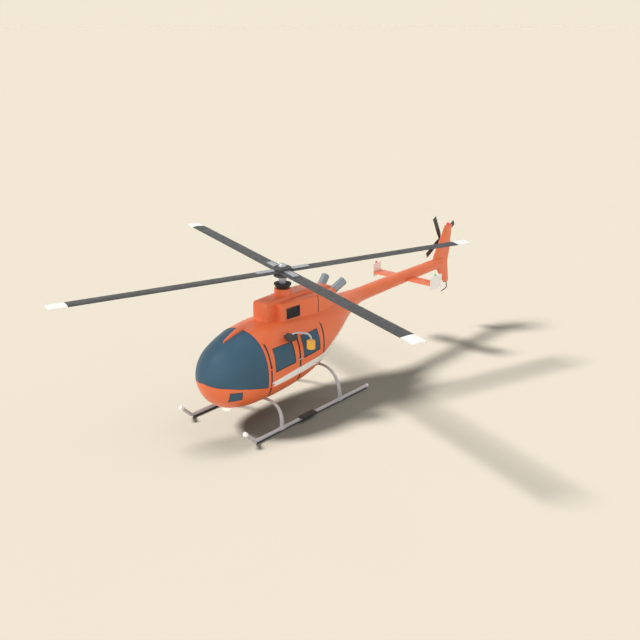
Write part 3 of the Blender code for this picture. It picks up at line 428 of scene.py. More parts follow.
def frame_of(axis: Array) -> tuple[Array, Array]:
    """Two unit directions square to an axis and to each other."""
    first = unit(np.cross(axis, ACROSS if abs(axis[0]) < 0.9 else ALONG))
    return first, np.cross(axis, first)


def lathe(profile: Rows, base: Numbers = (0.0, 0.0, 0.0), axis: Array = UP,
          sides: int = 40, loop: bool = False) -> Form:
    """A profile turned about an axis: base + height axis + radius (cos a first + sin a second).

    Args:
        profile: Radius and height of each point.
        base: Point of the axis where the height is zero.
        axis: The axis, which is made a unit direction.
        sides: Points round the axis.
        loop: Whether the profile closes on itself, which leaves a bore.

    Returns:
        The turned body.
    """
    way = unit(np.asarray(axis, float))
    first, second = frame_of(way)
    p = np.asarray(profile, float)
    turn = circle(sides)[None, :, None]
    radius, height = np.maximum(p[:, 0], 1e-5)[:, None, None], p[:, 1][:, None, None]
    rings = np.asarray(base, float) + height * way + radius * (np.cos(turn) * first + np.sin(turn) * second)
    return loft(rings, loop=loop)


def solid(profile: Rows, ease: float, steps: int, base: Numbers, axis: Array = UP, sides: int = 40) -> Form:
    """A turned part without a bore, its profile rounded and closed to the axis at both ends.

    Args:
        profile: Radius and height of each point away from the axis, with a last point of radius CORE where
            the end is domed.
        ease: How far its corners are set back.
        steps: Pieces in a rounded corner.
        base: Point of the axis where the height is zero.
        axis: The axis.
        sides: Points round the axis.

    Returns:
        The turned body.
    """
    end = [] if profile[-1][0] == CORE else [(CORE, profile[-1][1])]
    return lathe(eased([(CORE, profile[0][1]), *profile, *end], ease, steps), base, axis, sides)


def sleeve(profile: Rows, ease: float, steps: int, base: Numbers = (0.0, 0.0, 0.0), axis: Array = UP,
           sides: int = 48) -> Form:
    """A turned part with a bore, from a closed profile whose corners are rounded as a solid's are."""
    return lathe(eased(profile, ease, steps, closed=True), base, axis, sides, loop=True)


def bolt(seat: Numbers, radius: float, height: float, axis: Array = UP, ease: float = 0.0015) -> Form:
    """The six-sided head of a bolt on its seat."""
    return solid([(radius, 0.0), (radius, height)], ease, 2, seat, axis, 6)


def slab(outline: Array, x: float, spans: Numbers, draw: Numbers) -> Form:
    """An outline of y and z carried across, and drawn in about its middle towards the two ends.

    Args:
        outline: The outline's points.
        x: Where the first section stands.
        spans: How far from it each section stands.
        draw: Size of each section.

    Returns:
        The closed slab.
    """
    middle = outline.mean(axis=0)
    flat = middle + (outline - middle)[None] * np.asarray(draw)[:, None, None]
    across = np.broadcast_to((x + np.asarray(spans))[:, None, None], (*flat.shape[:2], 1))
    return loft(np.concatenate([across, flat], axis=2))


def block(low: Numbers, high: Numbers, corner: float = 0.01, edge: float = 0.004,
          steps: int = 4) -> Form:
    """A box with round corners in plan and round edges, as a rounded rectangle drawn in at both ends.

    Args:
        low: Lowest corner.
        high: Highest corner.
        corner: Radius of the four upright corners.
        edge: Radius of the edges at the top and the bottom, at most the corner's.
        steps: Pieces in a quarter turn.

    Returns:
        The closed block.
    """
    low, high = np.asarray(low, float), np.asarray(high, float)
    half, middle = (high - low) / 2, (high + low) / 2
    ease = quarter(steps + 1)
    turn = (ease[None] + np.arange(4)[:, None] * pi / 2).ravel()
    sign = np.repeat(np.array([(1, 1), (-1, 1), (-1, -1), (1, -1)], float), steps + 1, axis=0)
    inset = np.concatenate([edge * (1 - np.sin(ease)), edge * (1 - np.sin(ease[::-1]))])
    lift = edge * (1 - np.cos(ease))
    height = np.concatenate([lift - half[2], (half[2] - lift)[::-1]])
    flat = (half[:2] - corner) * sign
    around = np.stack([np.cos(turn), np.sin(turn)], 1)
    plan = flat[None] + (corner - inset)[:, None, None] * around[None]
    rings = np.concatenate([plan, np.broadcast_to(height[:, None, None], (*plan.shape[:2], 1))], axis=2)
    return loft(rings + middle)


def wing_section(count: int = 36, blunt: float = 0.10) -> Array:
    """A symmetric aerofoil of unit chord and unit thickness, as points round it.

    The half thickness at x is half of ten times (0.2969 root x - 0.126 x - 0.3516 x squared
    + 0.2843 x cubed - 0.1036 x to the fourth), plus a small share of x for a blunt tail.

    Args:
        count: Points round the section.
        blunt: Thickness of the trailing edge as a share of the section's.

    Returns:
        Points of (x from the leading edge, height).
    """
    turn = circle(count) + pi / count
    x = 0.5 * (1 + np.cos(turn))
    rise = 10 * (0.2969 * np.sqrt(x) - 0.126 * x - 0.3516 * x ** 2 + 0.2843 * x ** 3 - 0.1036 * x ** 4)
    return np.stack([x, 0.5 * (rise + blunt * x) * np.where(np.sin(turn) >= 0, 1.0, -1.0)], 1)


def wing(lead: Array, chord: Array, thick: Array, chord_way: Array,
         thick_way: Array, blunt: float = 0.10, tip: float = 0.5) -> Form:
    """An aerofoil carried through stations, with its two ends eased to a rounded tip.

    Each ring is lead + chord x + thickness height, and the end rings shrink about the chord's middle.

    Args:
        lead: Leading edge point of each station.
        chord: Chord of each station.
        thick: Thickness of each station.
        chord_way: Direction from the leading edge to the trailing edge.
        thick_way: Direction of the thickness.
        blunt: Thickness of the trailing edge as a share of the section's.
        tip: How far a tip is drawn out, in thicknesses.

    Returns:
        The closed wing.
    """
    section = wing_section(blunt=blunt)
    rings = (lead[:, None] + chord[:, None, None] * section[None, :, :1] * chord_way
             + thick[:, None, None] * section[None, :, 1:] * thick_way)
    ends = []
    for end, inner in ((0, 1), (-1, -2)):
        middle = rings[end].mean(axis=0)
        out = middle - rings[inner].mean(axis=0)
        out = out / np.linalg.norm(out) * thick[end] * tip
        turn = quarter(5)[1:]
        fat = rings[end] - middle
        up = (fat @ thick_way)[:, None] * thick_way
        flat = fat - up
        reach = np.linalg.norm(flat, axis=1).max()
        ends.append(np.stack([middle + out * sin(a) + up * cos(a) * 0.999
                              + flat * (1 - (1 - cos(a)) * thick[end] * 0.4 / reach) for a in turn]))
    return loft(np.concatenate([ends[0][::-1], rings, ends[1]]))


# --------------------------------------------------------------------------- finishes


class Graph:
    """One material's node tree, with short hands for the nodes that its finish needs."""

    def __init__(self, name: str) -> None:
        """Makes the material and keeps its shader.

        Args:
            name: The material's name.
        """
        self.material = bpy.data.materials.new(name)
        self.material.use_nodes = True
        self.tree = self.material.node_tree
        self.shader = self.tree.nodes["Principled BSDF"]

    def node(self, kind: str, inputs: Optional[dict] = None, **settings: object) -> bpy.types.Node:
        """Adds a node.

        Args:
            kind: The node's type.
            inputs: Values or sockets for its inputs, by name or number.
            **settings: The node's own settings.

        Returns:
            The node.
        """
        made = self.tree.nodes.new(kind)
        for key, value in settings.items():
            setattr(made, key, value)
        for key, value in (inputs or {}).items():
            if isinstance(value, Socket):
                self.tree.links.new(value, made.inputs[key])
            else:
                made.inputs[key].default_value = value
        return made

    def place(self, stretch: Numbers = (1.0, 1.0, 1.0), turn: Numbers = (0.0, 0.0, 0.0)
              ) -> Socket:
        """Object coordinates in metres, stretched and turned for a pattern."""
        where = self.node("ShaderNodeTexCoord").outputs["Object"]
        return self.node("ShaderNodeMapping",
                         {"Vector": where, "Scale": stretch, "Rotation": turn}).outputs[0]

    def noise(self, scale: float, detail: float = 3.0, stretch: Numbers = (1.0, 1.0, 1.0),
              turn: Numbers = (0.0, 0.0, 0.0)) -> Socket:
        """A noise from 0 to 1 with so many grains to a metre."""
        return self.node("ShaderNodeTexNoise", {"Vector": self.place(stretch, turn), "Scale": scale,
                                                "Detail": detail}).outputs["Fac"]

    def mark(self, name: str) -> Socket:
        """A number that the mesh carries on its points."""
        return self.node("ShaderNodeAttribute", attribute_name=name).outputs["Fac"]

    def spread(self, value: Socket, low: float, high: float, start: float = 0.0,
               end: float = 1.0) -> Socket:
        """The value's stretch from low to high carried to start and end, and held outside it."""
        return self.node("ShaderNodeMapRange",
                         {"Value": value, "From Min": low, "From Max": high, "To Min": start,
                                                "To Max": end}, interpolation_type="SMOOTHSTEP").outputs[0]

    def times(self, a: Socket, b: object) -> Socket:
        """The product of two numbers."""
        return self.node("ShaderNodeMath", {0: a, 1: b}, operation="MULTIPLY").outputs[0]

    def mix(self, share: Socket, first: object, second: object) -> Socket:
        """Two colours mixed by a share."""
        made = self.node("ShaderNodeMix", {0: share, 6: first, 7: second}, data_type="RGBA")
        return made.outputs[2]

    def bump(self, height: Socket, distance: float, strength: float = 1.0,
             under: Optional[Socket] = None) -> Socket:
        """A normal from a height.

        Args:
            height: The height, from 0 to 1.
            distance: The full height in metres.
            strength: How much of it shows.
            under: A normal that it is laid over.

        Returns:
            The normal.
        """
        inputs = {"Height": height, "Distance": distance, "Strength": strength}
        if under is not None:
            inputs["Normal"] = under
        return self.node("ShaderNodeBump", inputs).outputs[0]

    def worn(self, colour: Socket, bare: Numbers, amount: float) -> Socket:
        """A colour that is rubbed towards another on outer edges, in patches."""
        edge = self.spread(self.node("ShaderNodeNewGeometry").outputs["Pointiness"], 0.53, 0.60, 0.0, amount)
        return self.mix(self.times(edge, self.spread(self.noise(14.0), 0.35, 0.65)), colour, rgb(bare))

    def settle(self, values: dict) -> bpy.types.Material:
        """Sets the shader's own sockets and links those that are given as sockets.

        Args:
            values: Values or sockets by the shader's input names.

        Returns:
            The finished material.
        """
        for key, value in values.items():
            if isinstance(value, Socket):
                self.tree.links.new(value, self.shader.inputs[key])
            else:
                self.shader.inputs[key].default_value = value
        return self.material


def rgb(colour: Numbers) -> tuple[float, float, float, float]:
    """A colour with full cover."""
    return (colour[0], colour[1], colour[2], 1.0)


@dataclass(frozen=True)
class Finish:
    """What every finish has: a name, the frame's slot that it fills, or studio, and two tones."""

    name: str
    slot: str
    colour: Triple
    shade: Triple

    def make(self) -> bpy.types.Material:
        """The finish's material, as each kind of finish makes its own."""
        raise NotImplementedError


@dataclass(frozen=True)
class Paint(Finish):
    """Gloss enamel with an orange-peel skin, soft mottling, painted seam shade, dust and rubbed edges."""

    band: Triple = BAND_WHITE
    # dark brown of the painted shade beside the door gaps and behind the front windows
    gap_shade: Triple = (0.050, 0.018, 0.010)
    roughness: float = 0.36
    coat: float = 0.25
    striped: bool = False
    wear: float = 0.35
    bare: Triple = (0.62, 0.50, 0.42)

    def make(self) -> bpy.types.Material:
        """Mixes two tones by clouds, paints shade on the marked seam strips, adds the band, then dust and
        wear.
        """
        g = Graph(self.name)
        colour = g.mix(g.spread(g.noise(1.3, 4.0), 0.3, 0.7), rgb(self.colour), rgb(self.shade))
        if self.striped:
            # painted shade: the marked strips beside the door gaps turn dark brown
            colour = g.mix(g.spread(g.mark(SEAM_SHADE), -PAINT_EDGE, PAINT_EDGE), colour, rgb(self.gap_shade))
            colour = g.mix(g.spread(g.mark(STRIPE), -PAINT_EDGE, PAINT_EDGE), colour, rgb(self.band))
        dust = g.times(g.spread(g.noise(5.0, 6.0, (1.0, 0.35, 1.0)), 0.5, 0.85), 0.07)
        colour = g.mix(dust, colour, rgb(BROWN_DUST))
        colour = g.worn(colour, self.bare, self.wear)
        rough = g.spread(g.noise(9.0, 5.0), 0.3, 0.75, self.roughness - 0.05, self.roughness + 0.09)
        skin = g.bump(g.noise(260.0, 2.0), 0.00025, 0.35)
        return g.settle({"Base Color": colour, "Roughness": rough, "Normal": skin, "Coat Weight": self.coat,
                         "Coat Roughness": 0.12, "Specular IOR Level": 0.45})


@dataclass(frozen=True)
class Glass(Finish):
    """Tinted acrylic, nearly opaque from outside, with faint waves and a film of dust."""

    cover: float = 0.9
    roughness: float = 0.40

    def make(self) -> bpy.types.Material:
        """Tints the pane by slow clouds and roughens it with a film of dust."""
        g = Graph(self.name)
        colour = g.mix(g.spread(g.noise(1.6, 2.0), 0.35, 0.65), rgb(self.colour), rgb(self.shade))
        rough = g.spread(g.noise(30.0, 5.0), 0.35, 0.8, self.roughness - 0.03, self.roughness + 0.08)
        wave = g.bump(g.noise(3.0, 1.0), 0.004, 0.25)
        return g.settle({"Base Color": colour, "Roughness": rough, "Alpha": self.cover, "Normal": wave,
                         "Specular IOR Level": 0.12, "IOR": 1.49})


@dataclass(frozen=True)
class Steel(Finish):
    """Brushed or polished metal with scratches along one axis and dull patches."""

    grain: Triple = (1.0, 1.0, 1.0)
    roughness: float = 0.32
    metallic: float = 1.0
    sooty: bool = False

    def make(self) -> bpy.types.Material:
        """Mixes two tones by fine drawn-out grain, darkens the marked soot and cuts fine lines."""
        g = Graph(self.name)
        grain = g.noise(160.0, 4.0, self.grain)
        colour = g.mix(g.spread(grain, 0.35, 0.65), rgb(self.colour), rgb(self.shade))
        colour = g.mix(g.times(g.spread(g.noise(7.0, 5.0), 0.5, 0.8), 0.25), colour,
                       rgb(tuple(0.6 * value for value in self.shade)))
        if self.sooty:
            colour = g.mix(g.spread(g.mark(SOOT), 0.0, 1.0), colour, rgb(SOOT_BLACK))
        rough = g.spread(g.noise(40.0, 4.0, self.grain), 0.3, 0.7, self.roughness - 0.07,
                         self.roughness + 0.10)
        return g.settle({"Base Color": colour, "Roughness": rough, "Metallic": self.metallic,
                         "Normal": g.bump(grain, 0.00012, 0.5)})


@dataclass(frozen=True)
class Satin(Finish):
    """Satin paint, rubber or moulded plastic: a dark skin with fine grain, scuffs and grey dust."""

    roughness: float = 0.5
    grain: float = 350.0
    depth: float = 0.00025
    dust: float = 0.12
    tipped: bool = False
    striped: bool = False
    ribs: float = 0.0

    def make(self) -> bpy.types.Material:
        """Mixes two tones by clouds, adds the marked white tips or band, then dust and grain."""
        g = Graph(self.name)
        colour = g.mix(g.spread(g.noise(3.0, 5.0), 0.35, 0.65), rgb(self.colour), rgb(self.shade))
        colour = g.mix(g.times(g.spread(g.noise(22.0, 6.0), 0.5, 0.8), self.dust), colour,
                       rgb(GREY_DUST))
        if self.tipped:
            colour = g.mix(g.spread(g.mark(TIP), -TIP_EDGE, TIP_EDGE), colour, rgb(TIP_WHITE))
        if self.striped:
            colour = g.mix(g.spread(g.mark(STRIPE), -PAINT_EDGE, PAINT_EDGE), colour, rgb(BAND_WHITE))
        colour = g.worn(colour, tuple(min(1.0, 2.2 * value + 0.04) for value in self.colour), 0.4)
        rough = g.spread(g.noise(12.0, 5.0), 0.3, 0.7, self.roughness - 0.08, self.roughness + 0.1)
        normal = g.bump(g.noise(self.grain, 3.0), self.depth, 0.5)
        if self.ribs:
            wave = g.node("ShaderNodeTexWave", {"Vector": g.place(), "Scale": self.ribs, "Distortion": 0.0},
                          wave_type="BANDS", bands_direction="Y", wave_profile="SIN").outputs["Fac"]
            normal = g.bump(wave, 0.003, 0.8, normal)
        return g.settle({"Base Color": colour, "Roughness": rough, "Normal": normal})


@dataclass(frozen=True)
class Cloth(Finish):
    """Woven seat cloth: crossed threads 2 mm apart with slubs, fading and a soft sheen."""

    threads: float = 480.0

    def make(self) -> bpy.types.Material:
        """Crosses two sets of waves for the threads, tints them by slubs and fading, and raises them."""
        g = Graph(self.name)
        sets = [g.node("ShaderNodeTexWave", {"Vector": g.place(turn=turn), "Scale": self.threads / 6.283,
                                             "Distortion": 1.2, "Detail": 1.0},
                                             bands_direction="X").outputs["Fac"]
                for turn in ((0.0, 0.0, 0.0), (0.0, 0.0, pi / 2))]
        weave = g.node("ShaderNodeMath", {0: sets[0], 1: sets[1]}, operation="MAXIMUM").outputs[0]
        colour = g.mix(weave, rgb(self.shade), rgb(self.colour))
        colour = g.mix(g.times(g.spread(g.noise(6.0, 5.0), 0.4, 0.8), 0.3), colour,
                       rgb(tuple(1.5 * value for value in self.colour)))
        return g.settle({"Base Color": colour, "Roughness": g.spread(g.noise(30.0), 0.3, 0.7, 0.82, 0.95),
                         "Normal": g.bump(weave, 0.0004, 0.7), "Sheen Weight": 0.3, "Sheen Roughness": 0.5})


@dataclass(frozen=True)
class Lens(Finish):
    """A clear coloured lens with fine upright flutes."""

    glow: float = 0.15

    def make(self) -> bpy.types.Material:
        """Mixes two tones by clouds and raises flutes, with a little light of the lens's own colour."""
        g = Graph(self.name)
        colour = g.mix(g.noise(40.0, 2.0), rgb(self.colour), rgb(self.shade))
        flutes = g.node("ShaderNodeTexWave", {"Vector": g.place(), "Scale": 60.0},
                        bands_direction="X").outputs["Fac"]
        return g.settle({"Base Color": colour, "Roughness": g.spread(g.noise(60.0), 0.3, 0.7, 0.10, 0.2),
                         "Normal": g.bump(flutes, 0.0006, 0.5), "Coat Weight": 0.6, "Coat Roughness": 0.05,
                         "Emission Color": rgb(self.colour), "Emission Strength": self.glow})


@dataclass(frozen=True)
class Ground(Finish):
    """The studio's pale floor: a matt sheet with the faintest mottling."""

    def make(self) -> bpy.types.Material:
        """Mixes two close tones by slow clouds on a rough skin without gloss."""
        g = Graph(self.name)
        colour = g.mix(g.noise(0.3, 3.0), rgb(self.colour), rgb(self.shade))
        return g.settle({"Base Color": colour, "Roughness": 1.0, "Specular IOR Level": 0.0})


@dataclass(frozen=True)
class Glow(Finish):
    """The studio's far wall: a band that gives off the floor's own tone, so no horizon shows."""

    def make(self) -> bpy.types.Material:
        """Gives off the tone, with the faintest clouds, and reflects nothing."""
        g = Graph(self.name)
        glow = g.mix(g.noise(0.02, 2.0), rgb(self.colour), rgb(self.shade))
        return g.settle({"Base Color": rgb((0.0, 0.0, 0.0)), "Roughness": 1.0, "Specular IOR Level": 0.0,
                         "Emission Color": glow, "Emission Strength": 1.0})


ORANGE = Paint("orange_enamel", "orange_paint", (0.83, 0.172, 0.056), (0.79, 0.160, 0.050), striped=True)
WHITE = Paint("white_enamel", "white_paint", (0.93, 0.925, 0.91), (0.90, 0.895, 0.87), wear=0.1)
YELLOW = Paint("yellow_enamel", "hoist_yellow", (0.93, 0.50, 0.06), (0.88, 0.45, 0.05), coat=0.2)
TINT = Glass("tinted_acrylic", "tinted_glass", (0.058, 0.124, 0.187), (0.053, 0.115, 0.175), 0.97)
BLADE = Satin("blade_satin", "blade_grey", (0.060, 0.062, 0.066), (0.050, 0.051, 0.055), tipped=True)
TUBE = Satin("grey_tube", "grey_steel", (0.52, 0.50, 0.53), (0.45, 0.435, 0.46), 0.36, dust=0.1)
SHOE = Satin("shoe_steel", "grey_steel", (0.045, 0.042, 0.042), (0.035, 0.033, 0.033), 0.5, dust=0.2)
BUMPER = Satin("bumper_tube", "grey_steel", (0.10, 0.095, 0.095), (0.08, 0.076, 0.076), 0.45)
BRIGHT = Steel("brushed_steel", "bright_steel", (0.60, 0.63, 0.68), (0.48, 0.51, 0.57), (1.0, 1.0, 0.08),
               0.34, 0.75)
EXHAUST = Steel("exhaust_steel", "bright_steel", (0.36, 0.41, 0.46), (0.28, 0.32, 0.37), (1.0, 0.2, 0.2),
                0.40,
                0.55, sooty=True)
SEAL = Satin("seal_rubber", "black_rubber", (0.020, 0.014, 0.012), (0.016, 0.012, 0.010), 0.62, striped=True,
             dust=0.05)
RUBBER = Satin("boot_rubber", "black_rubber", (0.018, 0.019, 0.020), (0.024, 0.025, 0.026), 0.60, dust=0.10)
TREAD = Satin("step_rubber", "black_rubber", (0.050, 0.046, 0.043), (0.036, 0.034, 0.032), 0.75, dust=0.25,
              ribs=18.0)
PLASTIC = Satin("moulded_plastic", "dark_plastic", (0.040, 0.042, 0.045), (0.030, 0.032, 0.035), 0.52)
FLOORING = Satin("floor_mat", "dark_plastic", (0.055, 0.056, 0.060), (0.040, 0.041, 0.044), 0.8, ribs=40.0)
SEAT = Cloth("seat_weave", "seat_cloth", (0.12, 0.13, 0.15), (0.05, 0.055, 0.065))
RED = Lens("red_lens_clear", "red_lens", (0.80, 0.03, 0.05), (0.65, 0.02, 0.03))
# the belly lamp glows all over, housing too: painted light that keeps it bright where it sits in shade
LAMP = Lens("lamp_glass", "white_paint", (0.86, 0.84, 0.74), (0.82, 0.80, 0.72), 0.55)
GREEN = Lens("green_lens_clear", "green_lens", (0.05, 0.75, 0.20), (0.04, 0.60, 0.15))

FLOOR = Ground("studio_floor", "studio", (0.151, 0.164, 0.143), (0.149, 0.162, 0.141))
WALL = Glow("studio_wall", "studio", (0.890, 0.812, 0.671), (0.8811, 0.80388, 0.66429))


class Shop:
    """Makes each finish once and turns forms into pieces of the machine."""

    def __init__(self) -> None:
        """Starts with no finish made and an empty collection for what the machine's lamps light."""
        self.made: dict[str, bpy.types.Material] = {}
        self.machine = bpy.data.collections.new("machine")

    def finish(self, finish: Finish) -> bpy.types.Material:
        """The material of a finish, made on its first use."""
        if finish.name not in self.made:
            self.made[finish.name] = finish.make()
        return self.made[finish.name]

    def mesh(self, name: str, form: Form) -> bpy.types.Mesh:
        """A Blender mesh from a form, moved from the mast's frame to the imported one.

        Args:
            name: The mesh's name.
            form: Points, faces and marks.

        Returns:
            The mesh, smooth shaded.
        """
        mesh = bpy.data.meshes.new(name)
        points = (form.points + MAST).astype(np.float32)
        corners = np.concatenate([form.quads.ravel(), form.tris.ravel()]).astype(np.int32)
        starts = np.concatenate([np.arange(len(form.quads)) * 4,
                                 len(form.quads) * 4 + np.arange(len(form.tris)) * 3]).astype(np.int32)
        mesh.vertices.add(len(points))
        mesh.vertices.foreach_set("co", points.ravel())
        mesh.loops.add(len(corners))
        mesh.loops.foreach_set("vertex_index", corners)
        mesh.polygons.add(len(starts))
        mesh.polygons.foreach_set("loop_start", starts)
        mesh.update(calc_edges=True)
        for mark, values in form.marks.items():
            layer = mesh.attributes.new(mark, "FLOAT", "POINT")
            layer.data.foreach_set("value", np.asarray(values, np.float32))
        mesh.validate()
        mesh.shade_smooth()
        return mesh

    def piece(self, name: str, form: Form, finish: Finish, body: Body = Body.AIRFRAME,
              stands_for: Sequence[str] = (), bevel: float = 0.0, sharp: float = 38.0) -> bpy.types.Object:
        """A finished piece: its mesh, its finish, the body it rides on and the nodes it stands for.

        Args:
            name: The piece's name.
            form: Its form in the mast's frame.
            finish: Its finish.
            body: The body it rides on.
            stands_for: Nodes of the frame that it replaces.
            bevel: Width of the rounding on its sharp edges.
            sharp: Angle in degrees past which an edge is sharp.

        Returns:
            The object.
        """
        plain = {mark: np.full(len(form.points), -1.0) for mark in (STRIPE, TIP,
                                                                    SEAM_SHADE) if mark not in form.marks}
        mesh = self.mesh(name, Form(form.points, form.quads, form.tris, {**plain, **form.marks}))
        mesh.materials.append(self.finish(finish))
        item = bpy.data.objects.new(name, mesh)
        bpy.context.scene.collection.objects.link(item)
        self.machine.objects.link(item)
        if bevel:
            edge = item.modifiers.new("edges", "BEVEL")
            edge.width = bevel
            edge.segments = 3
            edge.limit_method = "ANGLE"
            edge.angle_limit = radians(sharp)
            edge.harden_normals = True
        else:
            mesh.set_sharp_from_angle(angle=radians(sharp))
        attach(item, body.value)
        if stands_for:
            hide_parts(*stands_for)
        LOG.info("%s: %d points, rides on %s", name, len(form.points), body.value)
        return item

    def pair(self, name: str, form: Form, finish: Finish, node: str = "", hinged: bool = False,
             bevel: float = 0.0) -> None:
        """A piece for each side, the starboard one mirrored.

        Args:
            name: The pieces' name without the side.
            form: The port side's form.
            finish: Their finish.
            node: Name without the side of the nodes that they stand for.
            hinged: Whether they ride on the front doors.
            bevel: Width of the rounding on their sharp edges.
        """
        for side in Side:
            self.piece(f"{name}_{side.word}", form.placed(side), finish,
                       side.door if hinged else Body.AIRFRAME,
                       [f"{node}_{side.word}"] if node else [], bevel)

    def dress(self, node: str, finish: Finish) -> None:
        """Gives a node of the frame that stays in sight a finish, in place of its flat one.

        Args:
            node: The node's name.
            finish: Its finish.
        """
        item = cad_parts[node]
        item.data.materials.clear()
        item.data.materials.append(self.finish(finish))
        self.machine.objects.link(item)
        LOG.info("%s: the frame's own node, dressed", node)


# --------------------------------------------------------------------------- fuselage


@dataclass
class Hull:
    """The fuselage's outer form: sections that are half superellipses above and below a widest line.

    A point at y and section angle a lies at x = half |cos a| ^ (2 / power) and z = middle +
    height |sin a| ^ (2 / power), with its own height and power above and below.
    """

    # y, belly z, roof z, half width, z of the widest line, power above, power below
    stations: Rows = (
        (-2.352, 1.200, 1.200, 0.000, 1.200, 2.0, 2.0), (-2.290, 0.910, 1.455, 0.260, 1.200, 2.0, 2.0),
        (-2.145, 0.705, 1.645, 0.470, 1.200, 2.0, 2.0), (-1.900, 0.545, 1.840, 0.650, 1.180, 2.1, 2.1),
        (-1.550, 0.495, 1.985, 0.750, 1.170, 2.2, 2.3), (-1.200, 0.520, 2.070, 0.790, 1.170, 2.3, 2.5),
        (-0.750, 0.555, 2.100, 0.800, 1.190, 2.5, 2.7), (-0.300, 0.600, 2.110, 0.800, 1.230, 2.5, 2.7),
        (0.150, 0.660, 2.110, 0.780, 1.300, 2.5, 2.6), (0.600, 0.770, 2.100, 0.730, 1.420, 2.5, 2.5),
        (1.000, 0.955, 2.085, 0.650, 1.550, 2.4, 2.4), (1.400, 1.180, 2.060, 0.540, 1.660, 2.3, 2.3),
        (1.800, 1.410, 2.030, 0.400, 1.750, 2.2, 2.2), (2.200, 1.580, 2.010, 0.280, 1.800, 2.1, 2.1),
        (2.700, 1.663, 2.003, 0.170, 1.833, 2.0, 2.0), (3.450, 1.686, 2.014, 0.164, 1.850, 2.0, 2.0),
        (4.300, 1.707, 2.015, 0.154, 1.861, 2.0, 2.0), (5.200, 1.725, 2.013, 0.144, 1.869, 2.0, 2.0),
        (5.900, 1.740, 2.014, 0.137, 1.877, 2.0, 2.0), (6.300, 1.748, 2.012, 0.132, 1.880, 2.0, 2.0),
    )
    tip: float = -2.352
    ring: float = -1.29
    boom_root: float = 2.45
    boom_end: float = 6.24
    softness: float = 0.022
    nose_centre: Triple = (0.0, -1.29, 1.18)
    nose_reach: float = 0.95
    stripe_top: Rows = (
        (-1.30, 1.037), (-1.194, 1.052), (-0.81, 1.099), (-0.394, 1.142), (0.053, 1.173), (0.44, 1.185),
        (0.52, 1.198), (0.693, 1.257), (0.911, 1.339), (1.243, 1.455), (1.785, 1.650), (2.20, 1.750),
        (2.33, 1.757),
        (2.60, 1.757))
    stripe_low: Rows = (
        (-1.30, 0.934), (-1.194, 0.941), (-0.794, 0.965), (-0.345, 0.996), (0.095, 1.008), (0.48, 1.012),
        (0.62, 1.016), (0.76, 1.085), (0.984, 1.190), (1.26, 1.337), (1.80, 1.575), (2.20, 1.700),
        (2.33, 1.757),
        (2.60, 1.820))
    stripe_start: float = -1.195

    def __post_init__(self) -> None:
        """Samples the stations on the root of the distance from the tip, where the nose is smooth.

        The samples follow a cubic whose slopes are harmonic means, and a bell curve then softens them.
        """
        table = np.array(self.stations)
        knots = np.sqrt(table[:, 0] - self.tip)
        values = np.stack([table[:, 2] - table[:, 4], table[:, 4] - table[:, 1], *table[:, 3:].T], 1)
        step = np.diff(knots)
        slope = np.diff(values, axis=0) / step[:, None]
        tangent = np.zeros_like(values)
        product = slope[:-1] * slope[1:]
        tangent[1:-1] = np.where(product > 0,
                                 2 * product / np.where(product > 0, slope[:-1] + slope[1:], 1.0), 0.0)
        tangent[0], tangent[-1] = slope[0], slope[-1]
        self.samples = np.linspace(0.0, knots[-1], 1600)
        k = np.clip(np.searchsorted(knots, self.samples, side="right") - 1, 0, len(step) - 1)
        h = step[k][:, None]
        rows = cubic((self.samples - knots[k])[:, None] / h, h, (values[k], values[k + 1]),
                     (tangent[k], tangent[k + 1]))
        width = self.softness / (self.samples[1] - self.samples[0])
        reach = int(3 * width)
        bell = np.exp(-0.5 * (np.arange(-reach, reach + 1) / width) ** 2)
        bell /= bell.sum()
        wide = np.pad(rows, ((reach, reach), (0, 0)), mode="reflect", reflect_type="odd")
        self.table = np.stack([np.convolve(wide[:, c], bell, mode="valid") for c in range(rows.shape[1])], 1)

    def section(self, y: Array) -> list[Array]:
        """Height above the widest line, depth below it, half width, the line's z and the two powers at y."""
        at = np.sqrt(np.maximum(np.asarray(y, float) - self.tip, 0.0))
        return [np.interp(at, self.samples, self.table[:, c]) for c in range(6)]

    def point(self, y: Array, turn: Array, depth: Array = 0.0) -> Array:
        """Points of the skin.

        Args:
            y: Stations.
            turn: Section angles in radians, from +X towards +Z.
            depth: How far under the skin.

        Returns:
            Points with the shape that the three share.
        """
        y, turn, depth = np.broadcast_arrays(y, turn, depth)
        above, below, half, middle, high, low = self.section(y)
        cosine, sine = np.cos(turn), np.sin(turn)
        power = 2 / np.where(sine >= 0, high, low)
        height = np.where(sine >= 0, above, below)
        x = (half - depth) * np.sign(cosine) * np.abs(cosine) ** power
        z = middle + (height - depth) * np.sign(sine) * np.abs(sine) ** power
        return np.stack([x, y, z], -1)

    def nose_point(self, y: Array, turn: Array, depth: float = 0.0) -> Array:
        """Points of the nose, whose inner skins are smaller copies about the middle of its ring."""
        centre = np.asarray(self.nose_centre)
        return centre + (self.point(y, turn) - centre) * (1 - depth / self.nose_reach)

    def turn_at(self, y: Array, z: Array) -> Array:
        """The section angle at which the skin passes a height below its widest line.

        Args:
            y: Stations.
            z: Heights.

        Returns:
            The angles in radians, which are negative.
        """
        _, below, _, middle, _, low = self.section(y)
        ratio = np.clip((middle - z) / np.maximum(below, 1e-6), 0.0, 1.0)
        return -np.arcsin(ratio ** (low / 2))

    def reach(self, y: Array, turn: Array, centre_z: float) -> Array:
        """Distance from a centre line to the skin along a section angle, by halving the range forty times.

        Args:
            y: Stations.
            turn: Angles of the rays in radians.
            centre_z: Height of the centre line.

        Returns:
            The distances.
        """
        above, _, half, middle, high, _ = self.section(y)
        low_end, high_end = np.zeros_like(y), np.full_like(y, 1.6)
        for _ in range(40):
            trial = (low_end + high_end) / 2
            x, z = trial * np.cos(turn), centre_z + trial * np.sin(turn)
            out = np.abs(x / half) ** high + np.abs((z - middle) / above) ** high > 1
            high_end, low_end = np.where(out, trial, high_end), np.where(out, low_end, trial)
        return (low_end + high_end) / 2

